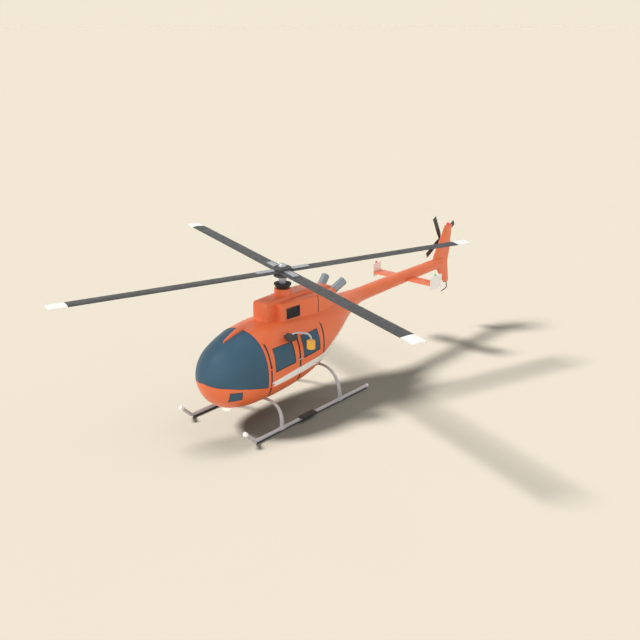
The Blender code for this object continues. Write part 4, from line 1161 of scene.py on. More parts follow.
    def stripe(self, points: Array) -> Array:
        """How far inside the white band's edges points lie, as seen from the side, and below zero outside it.

        Args:
            points: Points of the skin.

        Returns:
            The distance of each to the nearest edge.
        """
        y, z = points[:, 1], points[:, 2]
        gaps = []
        for line, sign in ((self.stripe_top, 1.0), (self.stripe_low, -1.0)):
            at, height = np.array(line).T
            slope = (np.interp(y + 0.02, at, height) - np.interp(y - 0.02, at, height)) / 0.04
            gaps.append(sign * (np.interp(y, at, height) - z) / np.sqrt(1 + slope ** 2))
        return np.minimum(np.minimum(*gaps), y - self.stripe_start)

    def banded(self, form: Form) -> Form:
        """The form with the white band marked on its points."""
        return form.marked(STRIPE, self.stripe(form.points))

    def strip(self, along: Array, turns: Array, outer: Array, inner: Array,
              keep: Optional[Array] = None, wrap: bool = False) -> Form:
        """A panel of the hull between two depths.

        Args:
            along: Stations, as a column or a grid.
            turns: Section angles, as a row or a grid.
            outer: Depth of its outer face.
            inner: Depth of its inner face.
            keep: Cells that are made.
            wrap: Whether it goes all round.

        Returns:
            The panel, with the white band marked.
        """
        return self.banded(panel(self.point(along, turns, outer), self.point(along, turns, inner), keep,
                                 wrap))


# section angles of the door openings' lower and upper edges
DOOR_LOW, DOOR_HIGH = radians(-33.0), radians(36.5)
# stations of the front, middle and rear door gaps, and their width
SEAMS = (-1.180, -0.345, 0.490)
GAP = 0.014
# the angle that a door's upper or lower edge stands back from its opening
TRIM = 0.0095
# the painted shade ahead of the front door, as its middle and half its width, and how wide the painted shade
# is at the other edges
FRONT_SHADE = (-1.205, 0.022)
REAR_SHADE = 0.016


@dataclass
class Pod:
    """The nose with its glass, the cabin shell, the seals in the door gaps and the belly lamp."""

    hull: Hull
    shop: Shop
    chin_edge: Rows = (
        (-2.352, -9.0), (-2.29, -8.0), (-2.145, -6.2), (-1.90, -6.0), (-1.55, -9.3), (-1.29, -14.0))
    window_y: Pair = (-2.103, -1.895)
    window_top: float = 1.044
    window_slant: float = 0.033
    # the chin windows' lower edge, as its height at a station and its slope
    window_low: Triple = (-1.966, 0.839, 0.219)
    # points over the glass, down to a chin window, over it, under the belly, over the other one and up
    counts: tuple[int, ...] = (72, 5, 7, 26, 7, 5)
    row_step: float = 0.021
    chin_depth: float = 0.030
    glass_depth: Pair = (0.004, 0.014)
    pane_depth: Pair = (0.012, 0.018)
    bead: Pair = (0.007, 0.008)
    wall: float = 0.040
    # the wall thins by so much from the first station to the second
    thinning: Triple = (0.028, 0.8, 2.0)
    # heights between which the painted shade ahead of the door runs, and the top of the painted shade behind
    # it
    front_shade_z: Pair = (0.71, 1.85)
    rear_shade_top: float = 1.85
    strip_rows: Rows = (
        (-1.235, 0.067, 0.046), (-1.255, 0.066, 0.046), (-1.40, 0.054, 0.045), (-1.60, 0.035, 0.037),
        (-1.72, 0.022, 0.031), (-1.768, 0.015, 0.027), (-1.778, 0.008, 0.012))
    lamp_y: float = -1.74
    lamp_low: float = 0.407

    def nose_grid(self) -> tuple[Array, Array, dict[str, int]]:
        """Stations and angles of the nose, with lines along the glass's edge and the chin windows.

        Columns run over the glass, then down the starboard chin, under the belly and up the port chin.

        Returns:
            Stations, angles and the numbers of the lines that pieces start and end on.
        """
        hull = self.hull
        knots = np.sqrt(np.array([0.0, 0.0, 0.0, *self.window_y, hull.ring]) - hull.tip)
        knots[:3] = (0.0015, 0.004, 0.05)
        y = lines(list(knots), self.row_step) ** 2 + hull.tip
        y[-1] = hull.ring
        table = np.array(self.chin_edge)
        edge = np.radians(np.interp(y, table[:, 0], table[:, 1]))
        edge = np.convolve(np.pad(edge, 4, mode="edge"), np.ones(9) / 9, mode="valid")
        slant = self.window_slant * np.exp(-((y + 1.98) / 0.22) ** 2) * np.clip((y - hull.tip) / 0.15, 0, 1)
        top = np.clip(hull.turn_at(y, self.window_top), radians(-68), edge - radians(2))
        at, height, slope = self.window_low
        bottom = np.clip(hull.turn_at(y + slant, height + slope * (y - at)), radians(-80), top - radians(6))
        knots_at = [edge, pi - edge, pi - top, pi - bottom, 2 * pi + bottom,
                    2 * pi + top, 2 * pi + edge]
        drop = [0.0, 0.0, 0.0, 1.0, 1.0, 0.0, 0.0]
        turns, shift = [], []
        for k, count in enumerate(self.counts):
            t = np.linspace(0.0, 1.0, count, endpoint=False)[None]
            turns.append(knots_at[k][:, None] * (1 - t) + knots_at[k + 1][:, None] * t)
            shift.append((drop[k] * (1 - t) + drop[k + 1] * t) * slant[:, None])
        first = int(np.argmin(np.abs(y - self.window_y[0])))
        last = int(np.argmin(np.abs(y - self.window_y[1])))
        starts = np.cumsum((0, *self.counts))
        marks = {"first": first, "last": last, "glass": int(starts[1]), "right": int(starts[2]),
                 "left": int(starts[4]), "high": self.counts[2]}
        return y[:, None] + np.concatenate(shift, 1), np.concatenate(turns, 1), marks

    def build_nose(self) -> None:
        """The chin, the windscreen over it, the two chin windows and their seals."""
        y, turn, at = self.nose_grid()
        rows, columns = y.shape
        row, column = np.arange(rows - 1)[:, None], np.arange(columns)[None]
        glass = column < at["glass"]
        in_rows = (row >= at["first"]) & (row < at["last"])
        windows = {side: in_rows & (column >= at[side.word]) & (column < at[side.word] + at["high"])
                   for side in Side}
        chin = ((row == 0) | ~glass) & ~windows[Side.LEFT] & ~windows[Side.RIGHT]
        skins = {depth: self.hull.nose_point(y, turn, depth)
                 for depth in (0.0, self.chin_depth, *self.glass_depth, *self.pane_depth)}
        self.shop.piece("nose_skin", panel(skins[0.0], skins[self.chin_depth], chin, wrap=True, capped=True),
                        ORANGE, stands_for=["nose_fairing"], bevel=0.003)
        self.shop.piece("windscreen_glass", panel(*(skins[depth] for depth in self.glass_depth),
                                                  (row > 0) & glass, wrap=True),
                        TINT, stands_for=["windscreen"])
        for side in Side:
            pane = panel(*(skins[depth] for depth in self.pane_depth), windows[side], wrap=True)
            self.shop.piece(f"chin_glass_{side.word}", pane, TINT, stands_for=[f"chin_window_{side.word}"])
            start = at[side.word]
            loop = [(at["first"], start), (at["last"], start), (at["last"], start + at["high"]),
                    (at["first"], start + at["high"])]
            self.shop.piece(f"chin_seal_{side.word}", self.window_bead(y, turn, loop), SEAL)
        self.build_glass_seal(y, turn, at)

    def window_bead(self, y: Array, turn: Array, loop: Sequence[tuple[int, int]]) -> Form:
        """A rubber bead round a window of the nose, as bars between the corners of a loop of grid lines.

        Args:
            y: Stations of the nose's grid.
            turn: Its angles.
            loop: Row and column of each corner.

        Returns:
            The four bars.
        """
        radius, depth = self.bead
        bars = []
        for (row_a, column_a), (row_b, column_b) in zip(loop, [*loop[1:], loop[0]]):
            t = np.linspace(0.0, 1.0, 12)
            low, high = y[row_a, column_a], y[row_b, column_b]
            low_turn, high_turn = turn[row_a, column_a], turn[row_b, column_b]
            path = self.hull.nose_point(low + (high - low) * t, low_turn + (high_turn - low_turn) * t, depth)
            chord = path[-1] - path[0]
            across = unit(np.cross(chord, UP if abs(chord[2]) < 0.1 else ALONG))
            bars.append(pipe(path, radius, across, 8, 0.003))
        return joined(bars)

    def build_glass_seal(self, y: Array, turn: Array, at: dict[str, int]) -> None:
        """The thin bead between the glass and the paint: along the chin on both sides and over the ring.

        Args:
            y: Stations of the nose's grid.
            turn: Its angles.
            at: The numbers of its marked lines.
        """
        offsets = circle(8)[None, :, None]

        def bead(path: Array, out: Array, side: Array, radius: float) -> Form:
            """A bead about a path: path + radius (cos a out + sin a side)."""
            return loft(path[:, None] + radius * (np.cos(offsets) * out[:, None] + np.sin(offsets) * side))

        centre = np.asarray(self.hull.nose_centre)
        beads = []
        for column in (0, at["glass"]):
            path = self.hull.nose_point(y[1:, column], turn[1:, column], 0.003)
            out = unit(path - centre)
            beads.append(bead(path, out, np.cross(unit(np.gradient(path, axis=0)), out)[:, None], 0.0035))
        sweep = np.linspace(turn[-1, 0], turn[-1, at["glass"]], 90)
        ring = self.hull.point(np.full(90, self.hull.ring), sweep, 0.003)
        beads.append(bead(ring, unit((ring - centre) * (1.0, 0.0, 1.0)), ALONG, 0.004))
        self.shop.piece("glass_seal", joined(beads), RUBBER)

    def build_shell(self) -> None:
        """The cabin's walls, roof, belly and tapering rear as one skin with an opening on each side."""
        hull = self.hull
        y = lines([hull.ring, -1.228, hull.stripe_start, -1.189, SEAMS[0], SEAMS[2], hull.boom_root],
                  0.034)[:, None]
        knots = [DOOR_LOW, DOOR_HIGH, pi - DOOR_HIGH, pi - DOOR_LOW, 2 * pi + DOOR_LOW]
        turn = lines(knots, radians(2.6))[None, :-1]
        row, column = y[:-1] + 0.001, turn + 0.001
        side = ((column > DOOR_LOW) & (column < DOOR_HIGH)) | (
            (column > pi - DOOR_HIGH) & (column < pi - DOOR_LOW))
        keep = ~((row > SEAMS[0]) & (row < SEAMS[2]) & side)
        less, start, end = self.thinning
        wall = self.wall - less * np.clip((y - start) / (end - start), 0, 1)
        form = hull.strip(y, turn, 0.0, wall, keep, wrap=True)
        at, level = form.points[:, 1], form.points[:, 2]
        # painted shade: dark bands on the shell ahead of the front door and beside the rear door
        low, high = self.front_shade_z
        front = np.minimum(FRONT_SHADE[1] - np.abs(at - FRONT_SHADE[0]), np.minimum(level - low, high - level))
        sill = float(hull.point(np.array(SEAMS[2]), np.array(DOOR_LOW))[2])
        rear = np.minimum(REAR_SHADE - np.abs(at - SEAMS[2]),
                          np.minimum(level - sill + 0.03, self.rear_shade_top - level))
        form = form.marked(SEAM_SHADE, np.maximum(front, rear))
        self.shop.piece("shell_skin", form, ORANGE, stands_for=["cabin_shell"], bevel=0.004)

    def build_seals(self) -> None:
        """What fills the door gaps of both sides.

        Painted sills run along the front, the top and the bottom. Rubber fills the other two gaps, and past
        them it runs out to a point over the paint above and below as a dark strip of painted shade.
        """
        hull = self.hull
        ends = (DOOR_LOW - radians(4.5), DOOR_HIGH + radians(4.0))
        turns = lines([ends[0], DOOR_LOW, DOOR_HIGH, ends[1]], radians(1.0))
        inside = (turns >= DOOR_LOW - 1e-6) & (turns <= DOOR_HIGH + 1e-6)
        taper = np.clip(np.minimum(turns - ends[0], ends[1] - turns) / radians(3.0), 0.12, 1.0)
        # beyond the door openings the rubber lies on the paint as a dark strip of painted shade, where a
        # groove's shade would fall
        depth = np.where(inside, 0.0025, -0.0012)[None]
        rubber = []
        for low, high in ((SEAMS[1] - GAP / 2, SEAMS[1] + GAP / 2), (SEAMS[2] - GAP, SEAMS[2])):
            half = (high - low) / 2 - 0.0006
            y = (low + high) / 2 + np.linspace(-1.0, 1.0, 5)[:, None] * half * taper[None]
            rubber.append(hull.strip(y, np.broadcast_to(turns, y.shape), depth, 0.013))
        inner = turns[inside][None]
        y = np.linspace(SEAMS[0] + 0.0006, SEAMS[0] + GAP - 0.0006, 3)[:, None]
        sills = [hull.strip(y, inner, 0.003, 0.013)]
        y = lines([SEAMS[0] + GAP, SEAMS[2] - GAP], 0.05)[:, None]
        for low, high in ((DOOR_LOW, DOOR_LOW + TRIM), (DOOR_HIGH - TRIM, DOOR_HIGH)):
            sills.append(hull.strip(y, np.linspace(low + 0.0012, high - 0.0012, 3)[None], 0.004, 0.016))
        self.shop.pair("door_seals", joined(rubber), SEAL)
        self.shop.pair("door_sills", joined(sills), ORANGE)

    def build_strip(self) -> None:
        """The raised strip over the windscreen: half ellipses that narrow to a point in front."""
        table = np.array(sorted(self.strip_rows))
        y = lines([table[0, 0], table[-1, 0]], 0.012)
        half, rise = np.interp(y, table[:, 0], table[:, 1]), np.interp(y, table[:, 0], table[:, 2])
        sweep = circle(40)[None]
        across = half[:, None] * np.sign(np.cos(sweep)) * np.abs(np.cos(sweep)) ** 0.55
        lift = np.where(np.sin(sweep) > 0, rise[:, None] * np.abs(np.sin(sweep)) ** 0.55, -0.006)
        turn = pi / 2 - np.arcsin(np.clip(across / 0.9, -1, 1))
        rings = self.hull.point(y[:, None], turn) + lift[..., None] * UP
        self.shop.piece("windscreen_spine", loft(rings), ORANGE, stands_for=["windscreen_strip"])

    def build_lamp(self) -> None:
        """The round lamp under the nose: a white housing with a rim and a domed glass, all glowing as painted
        light.
        """
        seat = float(self.hull.point(np.array(self.lamp_y), np.array(-pi / 2))[2]) + 0.03
        low = self.lamp_low - seat
        housing = eased([(0.004, low), (0.062, low + 0.004), (0.092, low + 0.022), (0.099, low + 0.045),
                         (0.099, 0.0), (0.003, 0.0)], 0.014, 5)
        self.shop.piece("belly_lamp", lathe(housing, (0.0, self.lamp_y, seat)), LAMP,
                        stands_for=["belly_light"])

    def build(self) -> None:
        """Every piece of the pod."""
        self.build_nose()
        self.build_shell()
        self.build_seals()
        self.build_strip()
        self.build_lamp()


@dataclass
class Doors:
    """Two hinged front doors and two rear doors, with panes, seals, linings, hinges and handles."""

    hull: Hull
    shop: Shop
    depth: float = 0.034
    pane: Pair = (0.012, 0.018)
    cell: Pair = (0.03, radians(2.4))
    # how far the rubber reaches over the door and over the pane, its depth and the lining's depth
    seal_reach: Pair = (0.002, 0.011)
    seal_depth: Pair = (0.0095, 0.021)
    lining_depth: Pair = (0.0345, 0.041)
    # corners of a window as station and section angle: front low, front high, rear low, rear high
    front_window: Rows = ((-1.089, 3.0), (-1.067, 34.3), (-0.483, 2.3), (-0.513, 31.4))
    rear_window: Rows = ((-0.226, 2.3), (-0.232, 33.9), (0.345, -0.4), (0.324, 31.5))
    hinge_x: float = 0.797
    hinge_heights: Pair = (0.99, 1.37)
    knuckle: float = 0.036
    handle_spot: Pair = (-0.395, 1.313)

    def door(self, name: str, ends: Pair, low: float, window: Rows, hinged: bool) -> None:
        """One kind of door with its opening, its pane, the rubber round the pane, its lining and painted seam
        shade.

        Args:
            name: The kind of door, as the frame's nodes spell it.
            ends: Stations of its front and rear edges.
            low: Section angle of its lower edge.
            window: Stations and section angles in degrees of the opening's four corners.
            hinged: Whether it swings with the front door's body.
        """
        hull, shop = self.hull, self.shop
        hole = np.array(window).reshape(2, 2, 2) * (1.0, pi / 180)
        middle = hole.mean(axis=(0, 1))
        out = np.sign(hole - middle) * (1.0, 1 / 0.8)
        outer = corners_of(ends, (low, DOOR_HIGH - TRIM))
        y, turn, keep = around_hole(outer, hole, *self.cell)
        leaf = hull.strip(y, turn, 0.0, self.depth, keep)
        at, level = leaf.points[:, 1], leaf.points[:, 2]
        # painted shade: a dark band along the door's rear edge, the rear door's front edge and behind the
        # front door's window
        mark = REAR_SHADE - (ends[1] - at)
        if name == "rear_door":
            mark = np.maximum(mark, REAR_SHADE - (at - ends[0]))
        else:
            low_end, high_end = hull.point(hole[1, :, 0], hole[1, :, 1])
            edge = np.interp(level, (low_end[2], high_end[2]), (low_end[1], high_end[1]))
            mark = np.maximum(mark, np.minimum(np.minimum(0.014 - (at - edge), at - edge + 0.001),
                                               np.minimum(level - low_end[2], high_end[2] - level)))
        shop.pair(f"{name}_leaf", leaf.marked(SEAM_SHADE, mark), ORANGE, name, hinged, 0.006)
        y, turn, _ = around_hole(hole, middle + (hole - middle) * 0.4, *self.cell)
        shop.pair(f"{name}_pane", hull.strip(y, turn, *self.pane), TINT, f"{name}_window", hinged)
        over, under = self.seal_reach
        y, turn, keep = around_hole(hole + out * over, hole - out * under, *self.cell)
        shop.pair(f"{name}_seal", hull.strip(y, turn, *self.seal_depth, keep), SEAL, hinged=hinged)
        lining = hull.strip(lines([ends[0] + 0.05, ends[1] - 0.05], 0.05)[:, None],
                            lines([low + radians(4), hole[:, 0, 1].min() - radians(4)], 0.05)[None],
                            *self.lining_depth)
        shop.pair(f"{name}_lining", lining, PLASTIC, hinged=hinged, bevel=0.003)

    def hinges(self) -> None:
        """Two hinges of a front door: the lower knuckles are the shell's and the upper ones the door's."""
        for owner, way, start in (("shell", -1, -self.knuckle), ("door", 1, 0.0)):
            ends = sorted((SEAMS[0] + way * 0.045, SEAMS[0] + way * 0.002))
            forms = []
            for height in self.hinge_heights:
                low, high = height + start, height + start + self.knuckle
                high -= 0.0003 if owner == "shell" else 0.0
                forms.append(block((self.hinge_x - 0.045, ends[0], low + 0.002),
                                   (self.hinge_x + 0.003, ends[1], high - 0.002), 0.004, 0.002))
                forms.append(solid([(0.0098, low), (0.0098, high)], 0.0015, 3, (self.hinge_x, SEAMS[0], 0.0),
                                   sides=24))
            self.shop.pair(f"{owner}_hinges", joined(forms), ORANGE, hinged=owner == "door")

    def handle(self) -> None:
        """The front door's lever over the rear seam, on a round boss."""
        y, z = self.handle_spot
        turn = -self.hull.turn_at(np.array(y), 2 * self.hull.section(np.array(y))[3] - z)
        seat = self.hull.point(np.array(y), np.abs(turn))
        boss = solid([(0.017, 0.016), (0.020, -0.004)], 0.003, 3, seat, ACROSS, 24)
        lever = curve_through([seat + (0.012, -0.022, -0.004), seat + (0.022, -0.005, 0.0),
                               seat + (0.024, 0.040, 0.006),
                               seat + (0.018, 0.090, 0.011)], 24)
        bar = pipe(lever, 0.0095, UP, 14, 0.006, 1.4)
        self.shop.pair("door_handle", joined([boss, bar]), BRIGHT, hinged=True)

    def build(self) -> None:
        """Both sides' doors and what is on them."""
        self.door("front_door", (SEAMS[0] + GAP, SEAMS[1] - GAP / 2), DOOR_LOW + TRIM, self.front_window,
                  True)
        self.door("rear_door", (SEAMS[1] + GAP / 2, SEAMS[2] - GAP), DOOR_LOW + 0.0006, self.rear_window,
                  False)
        self.hinges()
        self.handle()


@dataclass
class Cabin:
    """What shows through the glass and the open doors: seats, bench, instruments, controls and the frame."""

    hull: Hull
    shop: Shop
    floor: float = 0.7953
    seat_x: float = 0.34
    seat_width: float = 0.46
    bench_width: float = 1.06
    # a pad's half length and half height, its crown, and its place behind the seat's front and over the floor
    seat_pad: tuple[float, ...] = (0.205, 0.048, 0.022, 0.215, 0.290)
    back_pad: tuple[float, ...] = (0.255, 0.045, 0.020, 0.435, 0.570)
    seat_tilt: float = radians(3)
    back_tilt: float = pi / 2 - atan2(0.14, 0.48)
    bench_places: Triple = (-0.345, 0.0, 0.345)
    seat_front: float = -0.98
    bench_front: float = -0.12
    # where the channels are sewn along a cushion, as shares of its half length, and how far its sides draw in
    channels: Triple = (-0.5, 0.0, 0.5)
    pull: float = 0.012
    # how far a cover may swell, the size of its mesh, the cloth's pressure and its number of steps
    slack: float = 0.012
    voxel: float = 0.011
    pressure: float = 14.0
    steps: int = 20
    covers: dict[tuple[Numbers, float], Form] = field(default_factory=dict)

    def cushion(self, size: Numbers, crown: float) -> Form:
        """A stuffed cushion about the origin, as a squared sphere whose faces swell and whose sides pull in.

        A direction's point is size times the sign and a power of its parts. The top rises with the product of
        the cosines across it, and three sewn channels sink along it.

        Args:
            size: Half sizes.
            crown: How far the top swells.

        Returns:
            The closed cushion.
        """
        def squared(value: Array, power: float) -> Array:
            """The value's size to a power, with its sign kept."""
            return np.sign(value) * np.abs(value) ** power

        lift = np.linspace(-pi / 2, pi / 2, 42)[1:-1, None]
        turn = circle(120)[None]
        flat = squared(np.cos(lift), 0.35)
        x, y = flat * squared(np.cos(turn), 0.32), flat * squared(np.sin(turn), 0.32)
        z = squared(np.sin(lift), 0.55) * np.ones_like(x)
        dome = np.cos(np.clip(x, -1, 1) * pi / 2) ** 0.6 * np.cos(np.clip(y, -1, 1) * pi / 2) ** 0.6
        channel = sum(np.exp(-((y - at) / 0.035) ** 2) for at in self.channels)
        welt = np.exp(-((z - 0.15) / 0.10) ** 2) * 0.004
        return loft(np.stack([
            size[0] * x * (1 + welt / size[0]) - self.pull * np.sign(x) * (1 - y ** 2) * np.abs(x) ** 3,
            size[1] * y * (1 + welt / size[1]) - self.pull * np.sign(y) * (1 - x ** 2) * np.abs(y) ** 3,
            size[2] * z + np.where(z > 0, crown * dome - 0.009 * channel * np.clip(dome * 2, 0, 1), 0.0),
        ], -1))

    def stuffed(self, size: Numbers, crown: float) -> Form:
        """A cushion whose cover has swollen as cloth under pressure from a shape a little smaller.

        The cover is meshed evenly and held along its base and its sewn channels. It swells without weight, no
        point moves further than the slack, and its faces are split once more.

        Args:
            size: Half sizes of the swollen cushion.
            crown: How far the top swells.

        Returns:
            The closed cushion about the origin.
        """
        plain = self.cushion(np.asarray(size) - (self.slack, self.slack, self.slack / 2), crown)
        if (size, crown) in self.covers:
            return self.covers.get((size, crown), plain)
        scene = bpy.context.scene
        cover = bpy.data.objects.new("cover", self.shop.mesh("cover", plain))
        scene.collection.objects.link(cover)

        def settled() -> tuple[bpy.types.Mesh, Array]:
            """The cover's mesh with its modifiers' result in it, and its points."""
            mesh = bpy.data.meshes.new_from_object(cover.evaluated_get(bpy.context.evaluated_depsgraph_get()))
            found = np.empty(len(mesh.vertices) * 3, np.float32)
            mesh.vertices.foreach_get("co", found)
            return mesh, found.reshape(-1, 3).astype(float)

        even = cover.modifiers.new("even", "REMESH")
        even.mode, even.voxel_size = "VOXEL", self.voxel
        cover.data, start = settled()
        cover.modifiers.clear()
        local = start - MAST
        channel = np.abs(local[:, 1, None] / size[1] - self.channels).min(axis=1) < 0.032
        held = (local[:, 2] < -0.4 * size[2]) | (channel & (local[:, 2] > 0.0))
        cover.vertex_groups.new(name="held").add(np.flatnonzero(held).tolist(), 1.0, "REPLACE")
        cloth = cover.modifiers.new("cloth", "CLOTH")
        cloth.settings.use_pressure = True
        cloth.settings.uniform_pressure_force = self.pressure
        cloth.settings.vertex_group_mass = "held"
        cloth.settings.effector_weights.gravity = 0.0
        for step in range(1, self.steps + 1):
            scene.frame_set(step)
        shift = settled()[1] - start
        reach = np.linalg.norm(shift, axis=1, keepdims=True)
        cover.modifiers.clear()
        scene.frame_set(1)
        grown = start + shift * np.minimum(1.0, self.slack / np.maximum(reach, 1e-6))
        cover.data.vertices.foreach_set("co", grown.astype(np.float32).ravel())
        cover.data.update()
        cover.modifiers.new("split", "SUBSURF")
        mesh, points = settled()
        corners = np.empty(len(mesh.loops), np.int32)
        mesh.loops.foreach_get("vertex_index", corners)
        bpy.data.objects.remove(cover)
        self.covers[(size, crown)] = Form(points - MAST, corners.reshape(-1, 4))
        LOG.info("cushion cover: %d points, moved %.4f m at most", len(points), float(reach.max()))
        return self.covers[(size, crown)]

    def seat(self, name: str, x: float, width: float, front: float, bench: bool) -> None:
        """A seat: a moulded pan on the floor, and a cushion for the seat and for the back.

        Args:
            name: The frame's node that it stands for.
            x: Middle of its width.
            width: Its width.
            front: Station of its front edge.
            bench: Whether it is the rear bench, with three places.
        """
        base, half = self.floor, width / 2
        foot = [(0.01, 0.0), (0.12, 0.0), (0.45, 0.16)] if bench else [(0.01, 0.0), (0.44, 0.0)]
        outline = eased([*foot, (0.585, 0.80), (0.54, 0.80), (0.40, 0.26), (0.02, 0.235)], 0.03, 5,
                        closed=True)
        pan = slab(outline + np.array((front, base)), x - half + 0.01,
                   (0.0, 0.006, 0.02, width - 0.04, width - 0.026, width - 0.02),
                   (0.93, 0.98, 1.0, 1.0, 0.98, 0.93))
        self.shop.piece(f"{name}_pan", pan, PLASTIC)
        places = self.bench_places if bench else (0.0,)
        wide = half / len(places) - 0.006
        cushions = []
        for place in places:
            for (long, tall, crown, back, up), tilt in ((self.seat_pad, self.seat_tilt),
                                                        (self.back_pad, self.back_tilt)):
                pad = self.stuffed((wide, long, tall), crown).turned(tilt, ACROSS)
                cushions.append(pad.moved((x + place, front + back, base + up)))
        cover = self.shop.piece(f"{name}_cushions", joined(cushions), SEAT, stands_for=[name])

    def build_panel(self) -> None:
        """The instrument console: a hooded body on a pedestal, with a face of round dials."""
        base = self.floor
        corners = [(-1.61, 0.0), (-1.37, 0.0), (-1.365, 0.24), (-1.45, 0.44), (-1.43, 0.462), (-1.52, 0.468),
                   (-1.615, 0.43)]
        body = slab(eased(corners, 0.02, 4, closed=True) + np.array((0.0, base)), -0.32,
                    (0.0, 0.008, 0.028, 0.612, 0.632, 0.64), (0.95, 0.985, 1.0, 1.0, 0.985, 0.95))
        self.shop.piece("console", body, PLASTIC, stands_for=["instrument_panel"])
        way = np.array((0.0, 0.92, 0.39))
        dials = []
        for x in (-0.22, -0.11, 0.0, 0.11, 0.22):
            for down in (0.0, 1.0):
                seat = np.array((x, -1.4395 + 0.052 * down, base + 0.405 - 0.115 * down))
                rim = [(0.041, -0.006), (0.044, 0.004), (0.038, 0.007), (0.035, 0.002), (0.035, -0.006)]
                dials.append(sleeve(rim, 0.002, 2, seat, way, 28))
        self.shop.piece("dial_rims", joined(dials), BRIGHT)

    def build_controls(self) -> None:
        """Sticks between the knees, a lever beside the port seat and two pairs of pedals."""
        base = self.floor
        sticks, grips, pedals = [], [], []
        for x in (-self.seat_x, self.seat_x):
            path = curve_through([(x, -1.12, base - 0.005), (x, -1.15, base + 0.16), (x, -1.13, base + 0.32),
                                  (x, -1.10, base + 0.43)], 24)
            sticks.append(pipe(path, 0.012, ACROSS, 12))
            grip = curve_through([(x, -1.11, base + 0.41), (x, -1.10, base + 0.46), (x, -1.105, base + 0.53)],
                                 12)
            grips.append(pipe(grip, 0.021, ACROSS, 16, 0.012))
            if x > 0:
                lever = curve_through([(x - 0.27, -0.66, base - 0.004), (x - 0.27, -0.75, base + 0.10),
                                       (x - 0.27, -0.95, base + 0.24)], 20)
                sticks.append(pipe(lever, 0.012, ACROSS, 12))
            for shift in (-0.09, 0.09):
                pedals.append(block((x + shift - 0.045, -1.53, base + 0.05),
                                    (x + shift + 0.045, -1.505, base + 0.15),
                                    0.008, 0.004))
                pedals.append(pipe(np.array([(x + shift, -1.515, base + 0.06),
                                             (x + shift, -1.50, base - 0.004)]),
                                   0.010, ACROSS, 10))
        self.shop.piece("sticks", joined(sticks), TUBE)
        self.shop.piece("grips", joined(grips), PLASTIC)
        self.shop.piece("pedals", joined(pedals), PLASTIC)

    def build(self) -> None:
        """Every piece of the cabin."""
        hoop = self.hull.strip(np.linspace(-0.40, -0.30, 6)[:, None], circle(120)[None], 0.0403, 0.065,
                               wrap=True)
        self.shop.piece("cabin_hoop", hoop, ORANGE, stands_for=["door_hoop"], bevel=0.004)
        self.shop.dress("cabin_floor", FLOORING)
        for side in Side:
            self.seat(f"pilot_seat_{side.word}", side.value * self.seat_x, self.seat_width, self.seat_front,
                      False)
        self.seat("rear_bench", 0.0, self.bench_width, self.bench_front, True)
        self.build_panel()
        self.build_controls()


# --------------------------------------------------------------------------- upper deck


def soft_max(a: Array, b: Array, reach: Array) -> Array:
    """The greater of two values, plus the squared overlap over four reaches where they nearly meet."""
    overlap = np.maximum(reach - np.abs(a - b), 0.0)
    return np.maximum(a, b) + overlap ** 2 / (4 * reach)


